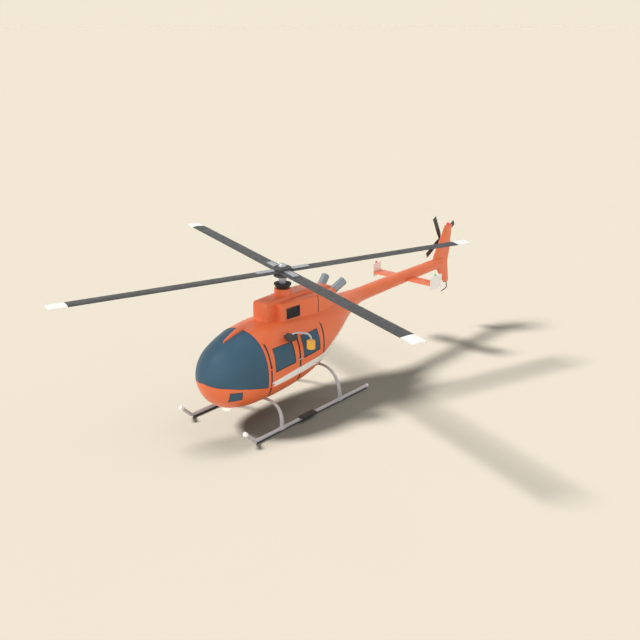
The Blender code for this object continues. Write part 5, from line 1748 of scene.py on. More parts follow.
@dataclass
class UpperDeck:
    """The engine cowling, its grilles and seams, the mast fairing and boot, and the exhausts."""

    hull: Hull
    shop: Shop
    # y, half width, top z
    wide: Rows = (
        (-0.422, 0.356, 2.418), (-0.37, 0.364, 2.426), (0.10, 0.402, 2.430), (0.50, 0.452, 2.425),
        (1.00, 0.420, 2.400), (1.405, 0.320, 2.342), (1.44, 0.310, 2.330))
    ridge: Rows = (
        (-0.80, 0.197, 2.486), (-0.66, 0.200, 2.490), (-0.30, 0.200, 2.503), (0.10, 0.200, 2.510),
        (0.60, 0.200, 2.510), (1.00, 0.190, 2.485), (1.405, 0.165, 2.388), (1.44, 0.158, 2.378))
    base_z: float = 1.80
    power: float = 14.0
    grille_y: Pair = (-0.28, 0.08)
    grille_z: Pair = (2.09, 2.31)
    grille_x: float = 0.386
    groove_y: Pair = (0.634, 0.660)
    groove_turn: Pair = (radians(22.0), radians(55.5))
    slats: int = 8
    slat_lean: float = radians(32.0)
    skin: float = 0.012
    # shares of a step's height at which its foot ends and its rounded edge starts
    rise_shares: Pair = (0.16, 0.90)
    pipe_radius: float = 0.095
    pipe_foot: Triple = (0.150, 1.33, 2.200)
    pipe_end: Triple = (0.268, 1.735, 2.454)
    aerial_lean: float = radians(25.0)

    def box_reach(self, rows: Rows, y: Array, turn: Array) -> Array:
        """Distance from the base line to a superellipse: a powered sum of cos / half and sin / height.

        Args:
            rows: Station, half width and top of each section.
            y: Stations.
            turn: Angles of the rays.

        Returns:
            The distances.
        """
        at, half, top = np.array(rows).T
        wide, tall = np.interp(y, at, half), np.interp(y, at, top) - self.base_z
        return (np.abs(np.cos(turn) / wide) ** self.power + np.abs(np.sin(turn) / tall) ** self.power) ** (
            -1 / self.power)

    def rise(self, y: Array, start: float, end: float, foot: float, edge: float) -> Array:
        """A step along y from 0 to 1: a quarter circle at its foot, a steep face and a rounded upper edge.

        Args:
            y: Stations.
            start: Where the foot starts.
            end: Where the top is reached.
            foot: Length of the foot.
            edge: Length of the rounded edge.

        Returns:
            The share of the full height.
        """
        foot_top, edge_foot = self.rise_shares
        length = abs(end - start)
        s = (y - start) * np.sign(end - start)
        low = foot_top * (1 - np.sqrt(np.clip(1 - (np.clip(s, 0, foot) / foot) ** 2, 0, 1)))
        bend = np.clip((s - (length - edge)) / edge, 0, 1)
        high = edge_foot + (1 - edge_foot) * np.sqrt(np.clip(1 - (1 - bend) ** 2, 0, 1))
        face = foot_top + (edge_foot - foot_top) * np.clip((s - foot) / max(length - edge - foot, 1e-6), 0, 1)
        return np.where(s <= 0, 0.0, np.where(s < foot, low, np.where(s < length - edge, face, np.where(
            s < length, high, 1.0))))

    def surface(self, y: Array, turn: Array) -> Array:
        """The deck's skin about its base line: the greatest of ridge, wide body and roof, with fillets.

        Args:
            y: Stations as a grid.
            turn: Section angles as a grid.

        Returns:
            Points of the skin.
        """
        roof = self.hull.reach(y, turn, self.base_z)
        ends = self.rise(y, 1.440, 1.408, 0.010, 0.014)
        ridge = self.rise(y, -0.745, -0.692, 0.028, 0.016) * ends
        wide = self.rise(y, -0.460, -0.404, 0.030, 0.018) * ends
        reach = 0.012 + 0.030 * np.clip((0.55 - y) / 0.8, 0.0, 1.0)
        low = roof - 0.004
        ridge_skin = low + ridge * (self.box_reach(self.ridge, y, turn) - low)
        wide_skin = low + wide * (self.box_reach(self.wide, y, turn) - low)
        out = soft_max(soft_max(ridge_skin, low, reach * ridge + 1e-4), wide_skin, 0.004 + reach * 0.6 * wide)
        return np.stack([out * np.cos(turn), y, self.base_z + out * np.sin(turn)], -1)

    @staticmethod
    def sunk(points: Array, depth: float) -> Array:
        """Points of the skin moved square to y, towards the line along the deck's middle."""
        return points + unit((np.array((0.0, 0.0, 1.9)) - points) * (1.0, 0.0, 1.0)) * depth

    def build_cowling(self) -> None:
        """The cowling as one skin with a grille opening on each side and a slot along its service seam."""
        y = np.concatenate([lines([-0.77, -0.745, -0.692, -0.67], 0.005), lines([-0.65, -0.48], 0.03),
                            lines([-0.465, -0.460, -0.404, -0.385], 0.005),
                            lines([-0.36, *self.grille_y, *self.groove_y, 1.38], 0.03),
                            lines([1.395, 1.408, 1.440, 1.455], 0.004)])
        low, high = (atan2(z - self.base_z, 0.388) for z in self.grille_z)
        slot = self.groove_turn
        half = lines([radians(8.0), slot[0], low, high, slot[1], pi / 2], radians(0.9))
        turn = np.concatenate([half, pi - half[-2::-1]])
        points = self.surface(*np.meshgrid(y, turn, indexing="ij"))
        row, column = y[:-1, None] + 1e-4, np.minimum(turn[:-1], pi - turn[1:])[None] + 1e-4
        hole = (row > self.grille_y[0]) & (row < self.grille_y[1]) & (column > low) & (column < high)
        groove = (row > self.groove_y[0]) & (row < self.groove_y[1]) & (column > slot[0]) & (column < slot[1])
        form = panel(points, self.sunk(points, self.skin), ~(hole | groove))
        self.shop.piece("cowling_skin", form, ORANGE, stands_for=["engine_cowling", "engine_block"],
                        bevel=0.004,
                        sharp=55.0)
        back = self.surface(*np.meshgrid(np.linspace(self.groove_y[0] - 0.012, self.groove_y[1] + 0.012, 4),
                                         lines([slot[0] - 0.02, slot[1] + 0.02], 0.03), indexing="ij"))
        self.shop.pair("cowling_seam", panel(self.sunk(back, 0.005), self.sunk(back, 0.016)), SEAL)

    def build_grilles(self) -> None:
        """Each intake grille: a rubber frame in the opening, and slanted slats before a dark back."""
        (y0, y1), (z0, z1) = self.grille_y, self.grille_z
        x = self.grille_x
        slats = []
        for z in np.linspace(z0 + 0.018, z1 - 0.018, self.slats):
            slat = block((x - 0.012, y0 + 0.006, z - 0.0025), (x + 0.008, y1 - 0.006, z + 0.0025), 0.0022,
                         0.0018, 2)
            slats.append(slat.turned(self.slat_lean, ALONG, (x, 0.0, z)))
        posts = [block((x - 0.006, y - 0.004, z0 + 0.004), (x + 0.002, y + 0.004, z1 - 0.004), 0.003, 0.002,
                       2)
                 for y in (y0 + (y1 - y0) / 3, y0 + 2 * (y1 - y0) / 3)]
        back = block((x - 0.030, y0 - 0.010, z0 - 0.010), (x - 0.020, y1 + 0.010, z1 + 0.010), 0.004, 0.003,
                     2)
        rim = [block((x - 0.020, y0 - 0.012, a), (x + 0.008, y1 + 0.012, b), 0.004, 0.003, 2)
               for a, b in ((z0 - 0.012, z0 + 0.006), (z1 - 0.006, z1 + 0.012))]
        rim += [block((x - 0.020, a, z0 - 0.010), (x + 0.008, b, z1 + 0.010), 0.004, 0.003, 2)
                for a, b in ((y0 - 0.012, y0 + 0.006), (y1 - 0.006, y1 + 0.012))]
        at, half, _ = np.array(self.wide).T
        slope = (np.interp(y1, at, half) - np.interp(y0, at, half)) / (y1 - y0)
        for name, forms, finish, node in (("grille", [*slats, *posts, back], PLASTIC, "intake_grille"),
                                          ("grille_frame", rim, RUBBER, "")):
            form = joined(forms)
            form.points[:, 0] += slope * (form.points[:, 1] - (y0 + y1) / 2)
            self.shop.pair(name, form, finish, node)

    def build_mast_fairing(self) -> None:
        """The round fairing on the ridge, and the rubber boot with its folds that stands on it."""
        wall = [(0.092, 2.36), (0.185, 2.36), (0.185, 2.639), (0.092, 2.639)]
        self.shop.piece("mast_collar", sleeve(wall, 0.016, 6, sides=64), ORANGE, stands_for=["mast_fairing"])
        boot = [(0.092, 2.6405), (0.128, 2.6405), (0.137, 2.655), (0.146, 2.660), (0.152, 2.676),
                (0.162, 2.683),
                (0.170, 2.701), (0.181, 2.709), (0.189, 2.726), (0.189, 2.740), (0.182, 2.745),
                (0.160, 2.737),
                (0.146, 2.742), (0.128, 2.734), (0.114, 2.740), (0.092, 2.736)]
        self.shop.piece("boot_folds", sleeve(boot, 0.006, 3, sides=64), RUBBER, stands_for=["mast_boot"])

    def build_exhausts(self) -> None:
        """Two thin-walled pipes that lean back and out, with a rolled lip, a band and soot inside."""
        base, end = np.array(self.pipe_foot), np.array(self.pipe_end)
        length = float(np.linalg.norm(end - base))
        way = (end - base) / length
        outside = self.pipe_radius
        bore = outside - 0.008
        wall = [(bore, 0.02), (bore, length - 0.006), (bore + 0.003, length), (outside, length - 0.004),
                (outside, length - 0.016), (outside - 0.001, length - 0.020), (outside - 0.001, 0.0),
                (bore, 0.0)]
        form = sleeve(wall, 0.004, 3, base, way)
        arm = form.points - base
        along = arm @ way
        radius = np.linalg.norm(arm - along[:, None] * way, axis=1)
        soot = np.clip((bore + 0.004 - radius) / 0.003, 0, 1) * 0.92 + 0.35 * np.clip(
            (along - length + 0.05) / 0.05, 0, 1)
        self.shop.pair("exhaust_pipe", form.marked(SOOT, np.clip(soot, 0, 1)), EXHAUST, "exhaust")
        plug = solid([(bore - 0.001, 0.17), (bore - 0.001, 0.155)], 0.003, 2, base, way, 32)
        self.shop.pair("exhaust_throat", plug, RUBBER)
        band = [(outside - 0.0005, 0.170), (outside + 0.004, 0.170), (outside + 0.004, 0.190),
                (outside - 0.0005, 0.190)]
        self.shop.pair("exhaust_band", sleeve(band, 0.003, 3, base, way), EXHAUST)

    def build(self) -> None:
        """Every piece of the upper deck and the stub aerial behind it."""
        self.build_cowling()
        self.build_grilles()
        self.build_mast_fairing()
        self.build_exhausts()
        stub = [(0.022, 0.0), (0.022, 0.010), (0.013, 0.020), (0.011, 0.125), (CORE, 0.130)]
        way = np.array((0.0, sin(self.aerial_lean), cos(self.aerial_lean)))
        self.shop.piece("stub_aerial", solid(stub, 0.003, 3, (0.0, 1.54, 2.035), way, 16), RUBBER)


# --------------------------------------------------------------------------- tail


@dataclass
class Tail:
    """The boom, the fin above and below it, the stabiliser with its end plates, the lights and the skid."""

    hull: Hull
    shop: Shop
    # z, leading edge y, trailing edge y, thickness
    fin_rows: Rows = (
        (1.269, 6.356, 6.569, 0.040), (1.330, 6.305, 6.559, 0.052), (1.469, 6.188, 6.535, 0.062),
        (1.705, 5.986, 6.495, 0.070), (1.850, 5.815, 6.470, 0.072), (2.000, 5.765, 6.510, 0.072),
        (2.130, 5.820, 6.545, 0.072), (2.600, 6.136, 6.593, 0.066), (2.810, 6.277, 6.614, 0.060))
    fin_top: Pair = (2.852, 2.826)
    plane: tuple[float, float, float, float] = (4.35, 4.76, 1.815, 0.040)
    plate_x: float = 0.902
    plate_y: float = 4.565
    plate_z: Pair = (1.705, 2.050)
    toe: float = radians(7.6)
    # how far the fin's chord draws in at its tip and its foot, and how far the foot stands out
    fin_draw: Pair = (0.07, 0.12)
    fin_foot: float = 0.012
    beacon_share: float = 0.48

    def build_boom(self) -> None:
        """The boom, whose last rings draw in to a rounded end."""
        hull = self.hull
        y = lines([hull.boom_root, 3.2, hull.boom_end - 0.07], 0.06)
        close = quarter(9)[1:-1]
        y = np.concatenate([y, y[-1] + 0.07 * np.sin(close)])
        shrink = np.concatenate([np.zeros(len(y) - len(close)), 0.125 * (1 - np.cos(close))])
        rings = hull.point(y[:, None], circle(72)[None], shrink[:, None])
        self.shop.piece("boom_skin", hull.banded(loft(rings, bulge=0.004)), ORANGE, stands_for=["tail_boom"])

    def build_fin(self) -> None:
        """The fin, an aerofoil that is carried up from its foot to its slanted tip."""
        table = np.array(self.fin_rows)
        z = lines([table[0, 0] + self.fin_foot, *table[1:, 0]], 0.035)
        lead, trail, thick = (np.interp(z, table[:, 0], table[:, k]) for k in (1, 2, 3))
        lead[1:-1], trail[1:-1] = (np.convolve(line, np.ones(3) / 3, mode="valid") for line in (lead, trail))
        section = wing_section(44, 0.30)
        rings = np.stack([thick[:, None] * section[None, :, 1],
                          lead[:, None] + (trail - lead)[:, None] * section[None, :, 0],
                          np.broadcast_to(z[:, None], (len(z), len(section)))], -1)
        slope = (self.fin_top[1] - self.fin_top[0]) / (trail[-1] - lead[-1])
        cap, foot = [], []
        for a in quarter(6)[1:]:
            for ring, draw, out in ((rings[-1], self.fin_draw[0], cap), (rings[0], self.fin_draw[1], foot)):
                middle = ring.mean(axis=0)
                out.append(middle + (ring - middle) * (1 - (1 - cos(a)) * np.array((0.9, draw, 1.0))))
            lift = (self.fin_top[0] - z[-1] + slope * (cap[-1][:, 1] - lead[-1])) * sin(a)
            cap[-1] += lift[:, None] * UP
            foot[-1] -= self.fin_foot * sin(a) * UP
        form = loft(np.concatenate([np.array(foot)[::-1], rings, np.array(cap)]))
        self.shop.piece("fin_skin", form, ORANGE, stands_for=["tail_fin"])
        y = lead[-1] + self.beacon_share * (trail[-1] - lead[-1])
        top = self.fin_top[0] + slope * (y - lead[-1])
        lamp = [(0.048, -0.004), (0.048, 0.008), (0.043, 0.012), (0.042, 0.040), (0.030, 0.060),
                (CORE, 0.066)]
        way = np.array((0.0, sin(slope), 1.0))
        self.shop.piece("beacon_lens", solid(lamp, 0.008, 4, (0.0, y, top), way, 32), RED,
                        stands_for=["beacon"])

    def build_plane(self) -> None:
        """The stabiliser through the boom, its end plates turned a little outwards, and their lights."""
        y0, y1, z, thick = self.plane
        reach = self.plate_x - 0.014
        x = np.linspace(-reach, reach, 40)
        # the plates toe out, so the tips follow them along the chord
        section = wing_section(44, 0.25)
        along = y0 + (y1 - y0) * section[None, :, 0]
        tip = np.abs(x[:, None]) / reach
        shift = np.sign(x[:, None]) * (along - self.plate_y) * tan(self.toe) * tip ** 8
        rings = np.stack([x[:, None] + shift, np.broadcast_to(along, (len(x), len(section))),
                          z + thick * np.broadcast_to(section[None, :, 1], (len(x), len(section)))], -1)
        self.shop.piece("stabiliser_skin", loft(rings), ORANGE, stands_for=["stabiliser"])
        plate = block((-0.011, -0.205, self.plate_z[0]), (0.011, 0.205, self.plate_z[1]), 0.0105, 0.006, 6)
        plate = plate.turned(-self.toe, UP).moved((self.plate_x, self.plate_y, 0.0))
        self.shop.pair("end_plate_skin", plate, WHITE, "end_plate")
        lens = solid([(0.028, 0.0), (0.028, 0.008), (0.024, 0.034), (CORE, 0.054)], 0.008, 4,
                     (self.plate_x, self.plate_y - 0.04, self.plate_z[1] + 0.0003), sides=28)
        for side, finish in ((Side.LEFT, GREEN), (Side.RIGHT, RED)):
            self.shop.piece(f"nav_lens_{side.word}", lens.placed(side), finish,
                            stands_for=[f"nav_light_{side.word}"])

    def build_skid(self) -> None:
        """The bent tube under the fin."""
        path = curve_through([(0.0, y, z) for y,
                              z in ((6.478, 1.300), (6.484, 1.262), (6.492, 1.20), (6.510, 1.15),
                                                       (6.508, 1.115), (6.470, 1.092), (6.37, 1.069),
                                                       (6.261, 1.051))],
                             60)
        self.shop.piece("tail_bumper", pipe(path, 0.014, ACROSS, 16, 0.008), BUMPER, stands_for=["tail_skid"])

    def build_gearbox(self) -> None:
        """The tail rotor's gearbox on the starboard face of the fin, a drum with a flange and bolts."""
        drum = [(0.086, 0.0), (0.086, 0.012), (0.070, 0.018), (0.066, 0.070), (0.048, 0.090), (CORE, 0.0935)]
        seat = np.array((-0.0355, 6.38, 2.44))
        forms = [solid(drum, 0.006, 4, seat, -ACROSS, 48)]
        forms += [bolt(seat + (-0.012, 0.078 * cos(turn), 0.078 * sin(turn)), 0.006, 0.006, -ACROSS, 0.001)
                  for turn in circle(8)]
        self.shop.piece("tail_gear_housing", joined(forms), PLASTIC, stands_for=["tail_gearbox"])

    def build(self) -> None:
        """Every piece of the tail."""
        self.build_boom()
        self.build_fin()
        self.build_plane()
        self.build_skid()
        self.build_gearbox()


# --------------------------------------------------------------------------- landing gear and hoist


@dataclass(frozen=True)
class Arch:
    """A cross tube: its node, its station, its line and the two blocks that hold it to the belly.

    The level middle ends at the bend, whose power is 2 for an ellipse and more for a squarer one. A block's
    sizes are half its length and width, its reach below and above the tube's middle, and its two roundings.
    """

    node: str
    y: float
    level: float
    bend: float
    power: float
    clamp_x: float
    clamp: tuple[float, ...]


@dataclass
class LandingGear:
    """Two skids with toe caps, wear shoes and step pads, and the two arched cross tubes."""

    shop: Shop
    track: float = 0.946
    radius: float = 0.038
    skid_path: Rows = (
        (-2.183, 0.334), (-2.10, 0.260), (-2.02, 0.188), (-1.965, 0.136), (-1.925, 0.098), (-1.890, 0.073),
        (-1.850, 0.062), (-1.80, 0.060), (-1.70, 0.060), (-1.2, 0.060), (0.0, 0.060), (1.2, 0.060),
        (1.776, 0.060))
    tubes: tuple[Arch, ...] = (
        Arch("cross_tube_front", -1.098, 0.585, 0.46, 3.0, 0.40, (0.020, 0.042, 0.036, 0.036, 0.014, 0.008)),
        Arch("cross_tube_rear", 0.788, 0.745, 0.40, 2.3, 0.30, (0.035, 0.050, 0.035, 0.180, 0.012, 0.006)))
    path_points: int = 150
    step_box: tuple[Triple, Triple] = ((0.925, -0.58, 0.0974), (1.065, -0.12, 0.127))
    step_lugs: int = 12
    tube_radius: float = 0.028
    saddle_z: float = 0.060
    foot_z: float = 0.070

    def build_skids(self) -> None:
        """Each skid, its toe cap, its shoe and its step pad."""
        path = curve_through([(self.track, y, z) for y, z in self.skid_path], self.path_points)
        self.shop.pair("skid_tube", pipe(path, self.radius, ACROSS, 32, 0.008), TUBE, "skid")
        shoe = block((self.track - 0.022, -1.84, 0.0), (self.track + 0.022, 1.74, 0.045), 0.012, 0.005)
        self.shop.pair("skid_shoe", shoe, SHOE)
        toe = [(0.0382, -0.075), (0.0430, -0.075), (0.0470, -0.060), (0.0470, -0.002), (0.040, 0.006),
               (CORE, 0.007),
               (CORE, -0.002), (0.0382, -0.002)]
        heel = [(0.0382, -0.040), (0.0420, -0.040), (0.0420, 0.003), (CORE, 0.003), (CORE, -0.002),
                (0.0382, -0.002)]
        for name, cup, ease, end, way in (("toe_cap", toe, 0.004, path[0], path[0] - path[4]),
                                          ("heel_cap", heel, 0.003, path[-1], ALONG)):
            self.shop.pair(name, lathe(eased(cup, ease, 3), end, way), WHITE)
        low, high = self.step_box
        lugs = [block((low[0], y - 0.012, high[2] + 0.001), (high[0], y + 0.012, high[2] + 0.0025), 0.0008,
                      0.0007, 1)
                for y in np.linspace(low[1] + 0.03, high[1] - 0.03, self.step_lugs)]
        self.shop.pair("step", joined([block(low, high, 0.016, 0.007), *lugs]), TREAD, "step_pad")

    def build_tubes(self) -> None:
        """Each cross tube: level under the belly, then down to its saddles by a powered sine and cosine.

        Its section is flatter and longer towards the feet, as on a tube that is pressed to an oval.
        """
        turn = quarter(48)
        for arch in self.tubes:
            x = arch.bend + (self.track - arch.bend) * np.sin(turn) ** (2 / arch.power)
            z = self.foot_z + (arch.level - self.foot_z) * np.abs(np.cos(turn)) ** (2 / arch.power)
            half = np.concatenate([[(0.0, arch.y, arch.level)], np.stack([x, np.full_like(x, arch.y), z], 1)])
            path = curve_through(np.concatenate([(half * (-1, 1, 1))[:0:-1], half]), self.path_points)
            oval = np.interp(path[:, 2], (0.12, arch.level), (2.2, 1.15))
            forms = [pipe(path, self.tube_radius, ALONG, 32, 0.004, oval)]
            wall = [(0.0385, -0.075), (0.050, -0.075), (0.050, 0.075), (0.0385, 0.075)]
            long, wide, below, above, corner, edge = arch.clamp
            for sign in (-1.0, 1.0):
                saddle = np.array((sign * self.track, arch.y, self.saddle_z))
                forms.append(sleeve(wall, 0.006, 4, saddle, ALONG))
                forms += [solid([(0.008, 0.048), (0.008, 0.057)], 0.0015, 2, saddle + shift * ALONG,
                                ACROSS * sign, 6)
                          for shift in (-0.058, 0.058)]
                middle = np.array((sign * arch.clamp_x, arch.y, arch.level))
                forms.append(block(middle - (long, wide, below), middle + (long, wide, above), corner, edge))
            self.shop.piece(f"{arch.node}_arch", joined(forms), TUBE, stands_for=[arch.node])

    def build(self) -> None:
        """Skids and cross tubes."""
        self.build_skids()
        self.build_tubes()


@dataclass
class Hoist:
    """The rescue hoist over the port door: a housing, the arm that swings on it and the drum below it."""

    shop: Shop
    pivot: Triple = (0.800, -0.580, 1.9253)
    # the arm's line from the pivot
    arm: Rows = (
        (0.0, 0.0, 0.004), (0.0, 0.0, 0.016), (0.010, 0.026, 0.026), (0.038, 0.10, 0.024),
        (0.060, 0.16, 0.012),
        (0.095, 0.25, -0.012), (0.130, 0.335, -0.050), (0.146, 0.380, -0.105), (0.150, 0.395, -0.155),
        (0.150, 0.395, -0.205))
    arm_radius: float = 0.021
    drum_height: float = 0.168

    def build(self) -> None:
        """The housing on its bracket, the arm and the drum."""
        housing = block((0.70, -0.70, 1.811), (0.865, -0.48, 1.925), 0.024, 0.012)
        motor = block((0.708, -0.696, 1.905), (0.857, -0.632, 1.968), 0.016, 0.009)
        bracket = block((0.52, -0.65, 1.825), (0.72, -0.53, 1.885), 0.012, 0.006)
        fins = [block((0.712, y - 0.004, 1.803), (0.852, y + 0.004, 1.812), 0.003, 0.002, 2)
                for y in np.linspace(-0.67, -0.51, 6)]
        bolts = [bolt((0.865, y, z), 0.009, 0.006, ACROSS) for y in (-0.670, -0.510) for z in (1.835, 1.900)]
        self.shop.piece("hoist_housing", joined([housing, motor, bracket, *fins, *bolts]), PLASTIC,
                        stands_for=["hoist_base"])
        centre = curve_through(np.asarray(self.arm) + np.asarray(self.pivot), 80)
        end = np.asarray(self.arm[-1])
        arm = pipe(centre, self.arm_radius, unit(np.cross(end * (1, 1, 0), UP)), 24, 0.004)
        foot = solid([(0.032, 0.0), (0.032, 0.022), (0.024, 0.030)], 0.004, 3, self.pivot, sides=32)
        self.shop.piece("hoist_boom", joined([arm, foot]), BRIGHT, Body.HOIST, ["hoist_arm"])
        top = self.pivot[2] + end[2] - 0.0013
        low = top - self.drum_height
        hub = np.array((self.pivot[0] + end[0], self.pivot[1] + end[1], 0.0))
        drum = [(0.088, low), (0.092, low + 0.006), (0.092, low + 0.020), (0.087, low + 0.026),
                (0.087, top - 0.026), (0.092, top - 0.020), (0.092, top - 0.006), (0.088, top)]
        turns = [sleeve([(0.0868, z - 0.004), (0.0885, z), (0.0868, z + 0.004), (0.085, z)], 0.001, 2, hub)
                 for z in np.linspace(low + 0.036, top - 0.036, 12)]
        self.shop.piece("hoist_winding", joined([solid(drum, 0.004, 3, hub, sides=56), *turns]), YELLOW,
                        Body.HOIST,
                        ["hoist_drum"])


# --------------------------------------------------------------------------- rotors


@dataclass
class MainRotor:
    """The mast, the hub with its cap, and four blades with their grips."""

    shop: Shop
    root: float = 0.16
    radius: float = 4.92
    chord: float = 0.313
    thick: float = 0.040
    blade_z: float = 3.015
    cap_seat: float = 3.0997
    turn: float = radians(-19.82)
    white_from: float = 4.56

    def blade(self, number: int) -> None:
        """One blade: an aerofoil with a square tip, painted white past a radius, and its grip and bolts.

        Args:
            number: The blade's number from 1 to 4.
        """
        r = lines([self.root, 0.6, 4.4, self.radius - 0.012], self.root)
        lead = np.stack([r, np.full_like(r, self.chord / 2), np.full_like(r, self.blade_z)], 1)
        body = wing(lead, np.full_like(r, self.chord), np.full_like(r, self.thick * 0.97), -ALONG, UP, 0.18,
                    0.3)
        body = body.marked(TIP, body.points[:, 0] - self.white_from)
        angle = self.turn + (number - 1) * pi / 2
        self.shop.piece(f"blade_{number}", body.turned(angle, UP), BLADE, Body.ROTOR,
                        [f"rotor_blade_{number}"])
        low = self.blade_z + self.thick / 2 - 0.004
        forms = [block((0.200, -0.07, low), (0.62, 0.07, low + 0.028), 0.012, 0.005)]
        forms += [bolt((x, y, low + 0.027), 0.010, 0.007) for x in (0.28, 0.40, 0.50, 0.58) for y in (-0.045,
                                                                                                      0.045)]
        self.shop.piece(f"grip_{number}", joined(forms).turned(angle, UP), BRIGHT, Body.ROTOR,
                        [f"blade_grip_{number}"])

    def build(self) -> None:
        """Mast, hub, cap and the four blades."""
        axis = (0.0, 0.0, 0.0)
        mast = [(0.078, 2.66), (0.078, 2.80), (0.086, 2.815), (0.086, 2.835), (0.078, 2.85), (0.078, 2.8897)]
        self.shop.piece("mast_tube", solid(mast, 0.005, 3, axis, sides=48), BRIGHT, Body.ROTOR,
                        ["rotor_mast"])
        hub = [(0.165, 2.89), (0.19, 2.905), (0.19, 2.955), (0.180, 2.962), (0.180, 2.975), (0.19, 2.982),
               (0.19, 3.085), (0.178, 3.0995)]
        forms = [solid(hub, 0.006, 4, axis, sides=64)]
        forms += [bolt((0.142 * cos(turn), 0.142 * sin(turn), 3.098), 0.012, 0.012, ease=0.002)
                  for turn in circle(8) + self.turn + pi / 8]
        self.shop.piece("hub", joined(forms), BLADE, Body.ROTOR, ["rotor_head"])
        cap = [(0.090, 0.0), (0.090, 0.030), (0.080, 0.050), (0.056, 0.056), (0.052, 0.068), (0.046, 0.0706)]
        self.shop.piece("hub_cap", solid(cap, 0.006, 4, self.cap_seat * UP, sides=48), BRIGHT, Body.ROTOR,
                        ["rotor_cap"])
        for number in range(1, 5):
            self.blade(number)


@dataclass
class TailRotor:
    """Four white-tipped blades on a hub at the starboard side of the fin."""

    shop: Shop
    hub: Triple = (-0.18, 6.38, 2.44)
    radius: float = 0.74
    turn: float = radians(28.0)
    white_from: float = 0.715
    chord: float = 0.15

    def build(self) -> None:
        """Hub, shaft and blades as one piece."""
        centre = np.asarray(self.hub)
        hub = [(0.044, -0.0425), (0.055, -0.030), (0.055, 0.030), (0.044, 0.0425)]
        shaft = [(CORE, 0.04), (0.024, 0.04), (0.024, 0.05), (CORE, 0.05)]
        forms = [solid(hub, 0.006, 4, centre, ACROSS), lathe(shaft, centre, ACROSS, 24)]
        r = lines([0.035, 0.12, self.radius - 0.008], 0.05)
        chord = np.interp(r, (0.035, 0.15), (0.06, self.chord))
        lead = np.stack([np.zeros_like(r), r, chord / 2], 1)
        blade = wing(lead, chord, np.interp(r, (0.035, 0.12), (0.030, 0.021)), -UP, ACROSS, 0.15, 0.3)
        blade = blade.marked(TIP, blade.points[:, 1] - self.white_from)
        for turn in circle(4) + self.turn:
            forms.append(blade.turned(turn, ACROSS).moved(centre))
            spot = centre + (-0.012, 0.085 * cos(turn), 0.085 * sin(turn))
            forms.append(bolt(spot, 0.008, 0.008, -ACROSS, 0.001))
        self.shop.piece("tail_blades", joined(forms), BLADE, Body.TAIL_ROTOR, ["tail_rotor"])


# --------------------------------------------------------------------------- studio


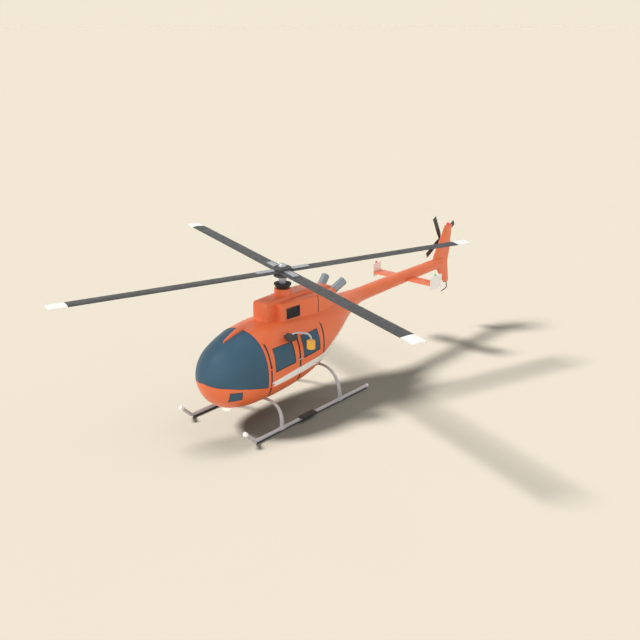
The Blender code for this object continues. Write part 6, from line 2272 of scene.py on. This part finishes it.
@dataclass
class Studio:
    """The pale floor and the band round it, the lamps and the camera.

    A few lamps light the machine alone and the others the floor alone, so the shadow on the floor can be deep
    while the machine is lit softly.
    """

    shop: Shop
    camera_place: Triple = (12.2534, -13.2239, 8.2743)
    camera_turn: Triple = (70.537, 0.0, 40.300)
    lens: float = 50.0
    # what each lamp lights, its way, its size in degrees, its power and its colour
    lamps: tuple[tuple[str, str, Triple, float, float, Triple], ...] = (
        ("floor_key", "floor", (0.69, 0.60, -1.0), 12.5, 19.57, (1.0, 0.827, 0.781)),
        ("floor_back", "floor", (-0.15, -0.75, -0.75), 80.0, 4.05, (1.0, 0.827, 0.781)),
        ("key", "machine", (0.69, 0.60, -1.0), 15.0, 1.15, (1.0, 0.98, 0.95)),
        ("dome", "machine", (0.0, 0.0, -1.0), 170.0, 0.95, (1.0, 0.98, 0.95)),
        ("front", "machine", (0.2, 0.95, -0.5), 60.0, 0.78, (1.0, 0.98, 0.95)),
        ("fill", "machine", (-0.94, 0.22, -0.27), 70.0, 0.36, (1.0, 0.98, 0.95)))
    sky: Triple = (1.0, 0.97, 0.93)
    sky_power: float = 0.42
    floor_reach: float = 400.0
    floor_sides: int = 64
    # the band's place as a share of the floor's reach, and its lower and upper edge
    band: Triple = (0.99, -2.0, 30.0)

    def sheet(self, name: str, points: Array, faces: Array, material: bpy.types.Material
              ) -> bpy.types.Object:
        """Adds a sheet of the studio, which is no part of the machine and throws no shadow.

        Args:
            name: The sheet's name.
            points: Its points.
            faces: Its faces.
            material: Its material.

        Returns:
            The object.
        """
        mesh = bpy.data.meshes.new(name)
        mesh.from_pydata(points.tolist(), [], faces.tolist())
        mesh.materials.append(material)
        item = bpy.data.objects.new(name, mesh)
        bpy.context.scene.collection.objects.link(item)
        item.visible_shadow = False
        return item

    def build(self) -> None:
        """Floor, the glowing band round its rim, lamps and camera."""
        turn = circle(self.floor_sides)
        ring = np.stack([np.cos(turn), np.sin(turn), 0 * turn], 1) * self.floor_reach
        lit = {"machine": self.shop.machine, "floor": bpy.data.collections.new("floor")}
        lit["floor"].objects.link(self.sheet("floor", ring, np.arange(self.floor_sides)[None], FLOOR.make()))
        share, low, high = self.band
        rim = np.concatenate([ring * share + low * UP, ring * share + high * UP])
        # the band is there to be seen behind the floor, and lights nothing
        faces = grid_quads(2, self.floor_sides, wrap=True)[:, ::-1]
        self.sheet("backdrop", rim, faces, WALL.make()).visible_diffuse = False
        world = bpy.data.worlds.new("studio")
        world.use_nodes = True
        back = world.node_tree.nodes["Background"]
        back.inputs["Color"].default_value = rgb(self.sky)
        back.inputs["Strength"].default_value = self.sky_power
        bpy.context.scene.world = world
        for name, target, way, size, power, colour in self.lamps:
            lamp = bpy.data.lights.new(name, "SUN")
            lamp.energy, lamp.angle, lamp.color = power, radians(size), colour
            item = bpy.data.objects.new(name, lamp)
            item.rotation_euler = Vector(way).to_track_quat("-Z", "Y").to_euler()
            item.light_linking.receiver_collection = lit[target]
            bpy.context.scene.collection.objects.link(item)
        view = bpy.data.cameras.new("camera")
        view.lens = self.lens
        view.sensor_width = 36.0
        view.clip_end = 2000.0
        camera = bpy.data.objects.new("camera", view)
        camera.location = MAST + self.camera_place
        camera.rotation_euler = Euler([radians(angle) for angle in self.camera_turn])
        bpy.context.scene.collection.objects.link(camera)
        bpy.context.scene.camera = camera
        bpy.context.scene.view_settings.view_transform = "Standard"
        LOG.info("studio: floor, %d lamps and camera", len(self.lamps))


def main() -> None:
    """Builds the whole machine and the studio, in the order in which a builder would fit them."""
    logging.basicConfig(level=logging.INFO, format="%(name)s %(message)s")
    shop = Shop()
    hull = Hull()
    Studio(shop).build()
    Pod(hull, shop).build()
    Doors(hull, shop).build()
    Cabin(hull, shop).build()
    UpperDeck(hull, shop).build()
    Tail(hull, shop).build()
    LandingGear(shop).build()
    Hoist(shop).build()
    MainRotor(shop).build()
    TailRotor(shop).build()


if __name__ == "__main__":
    main()
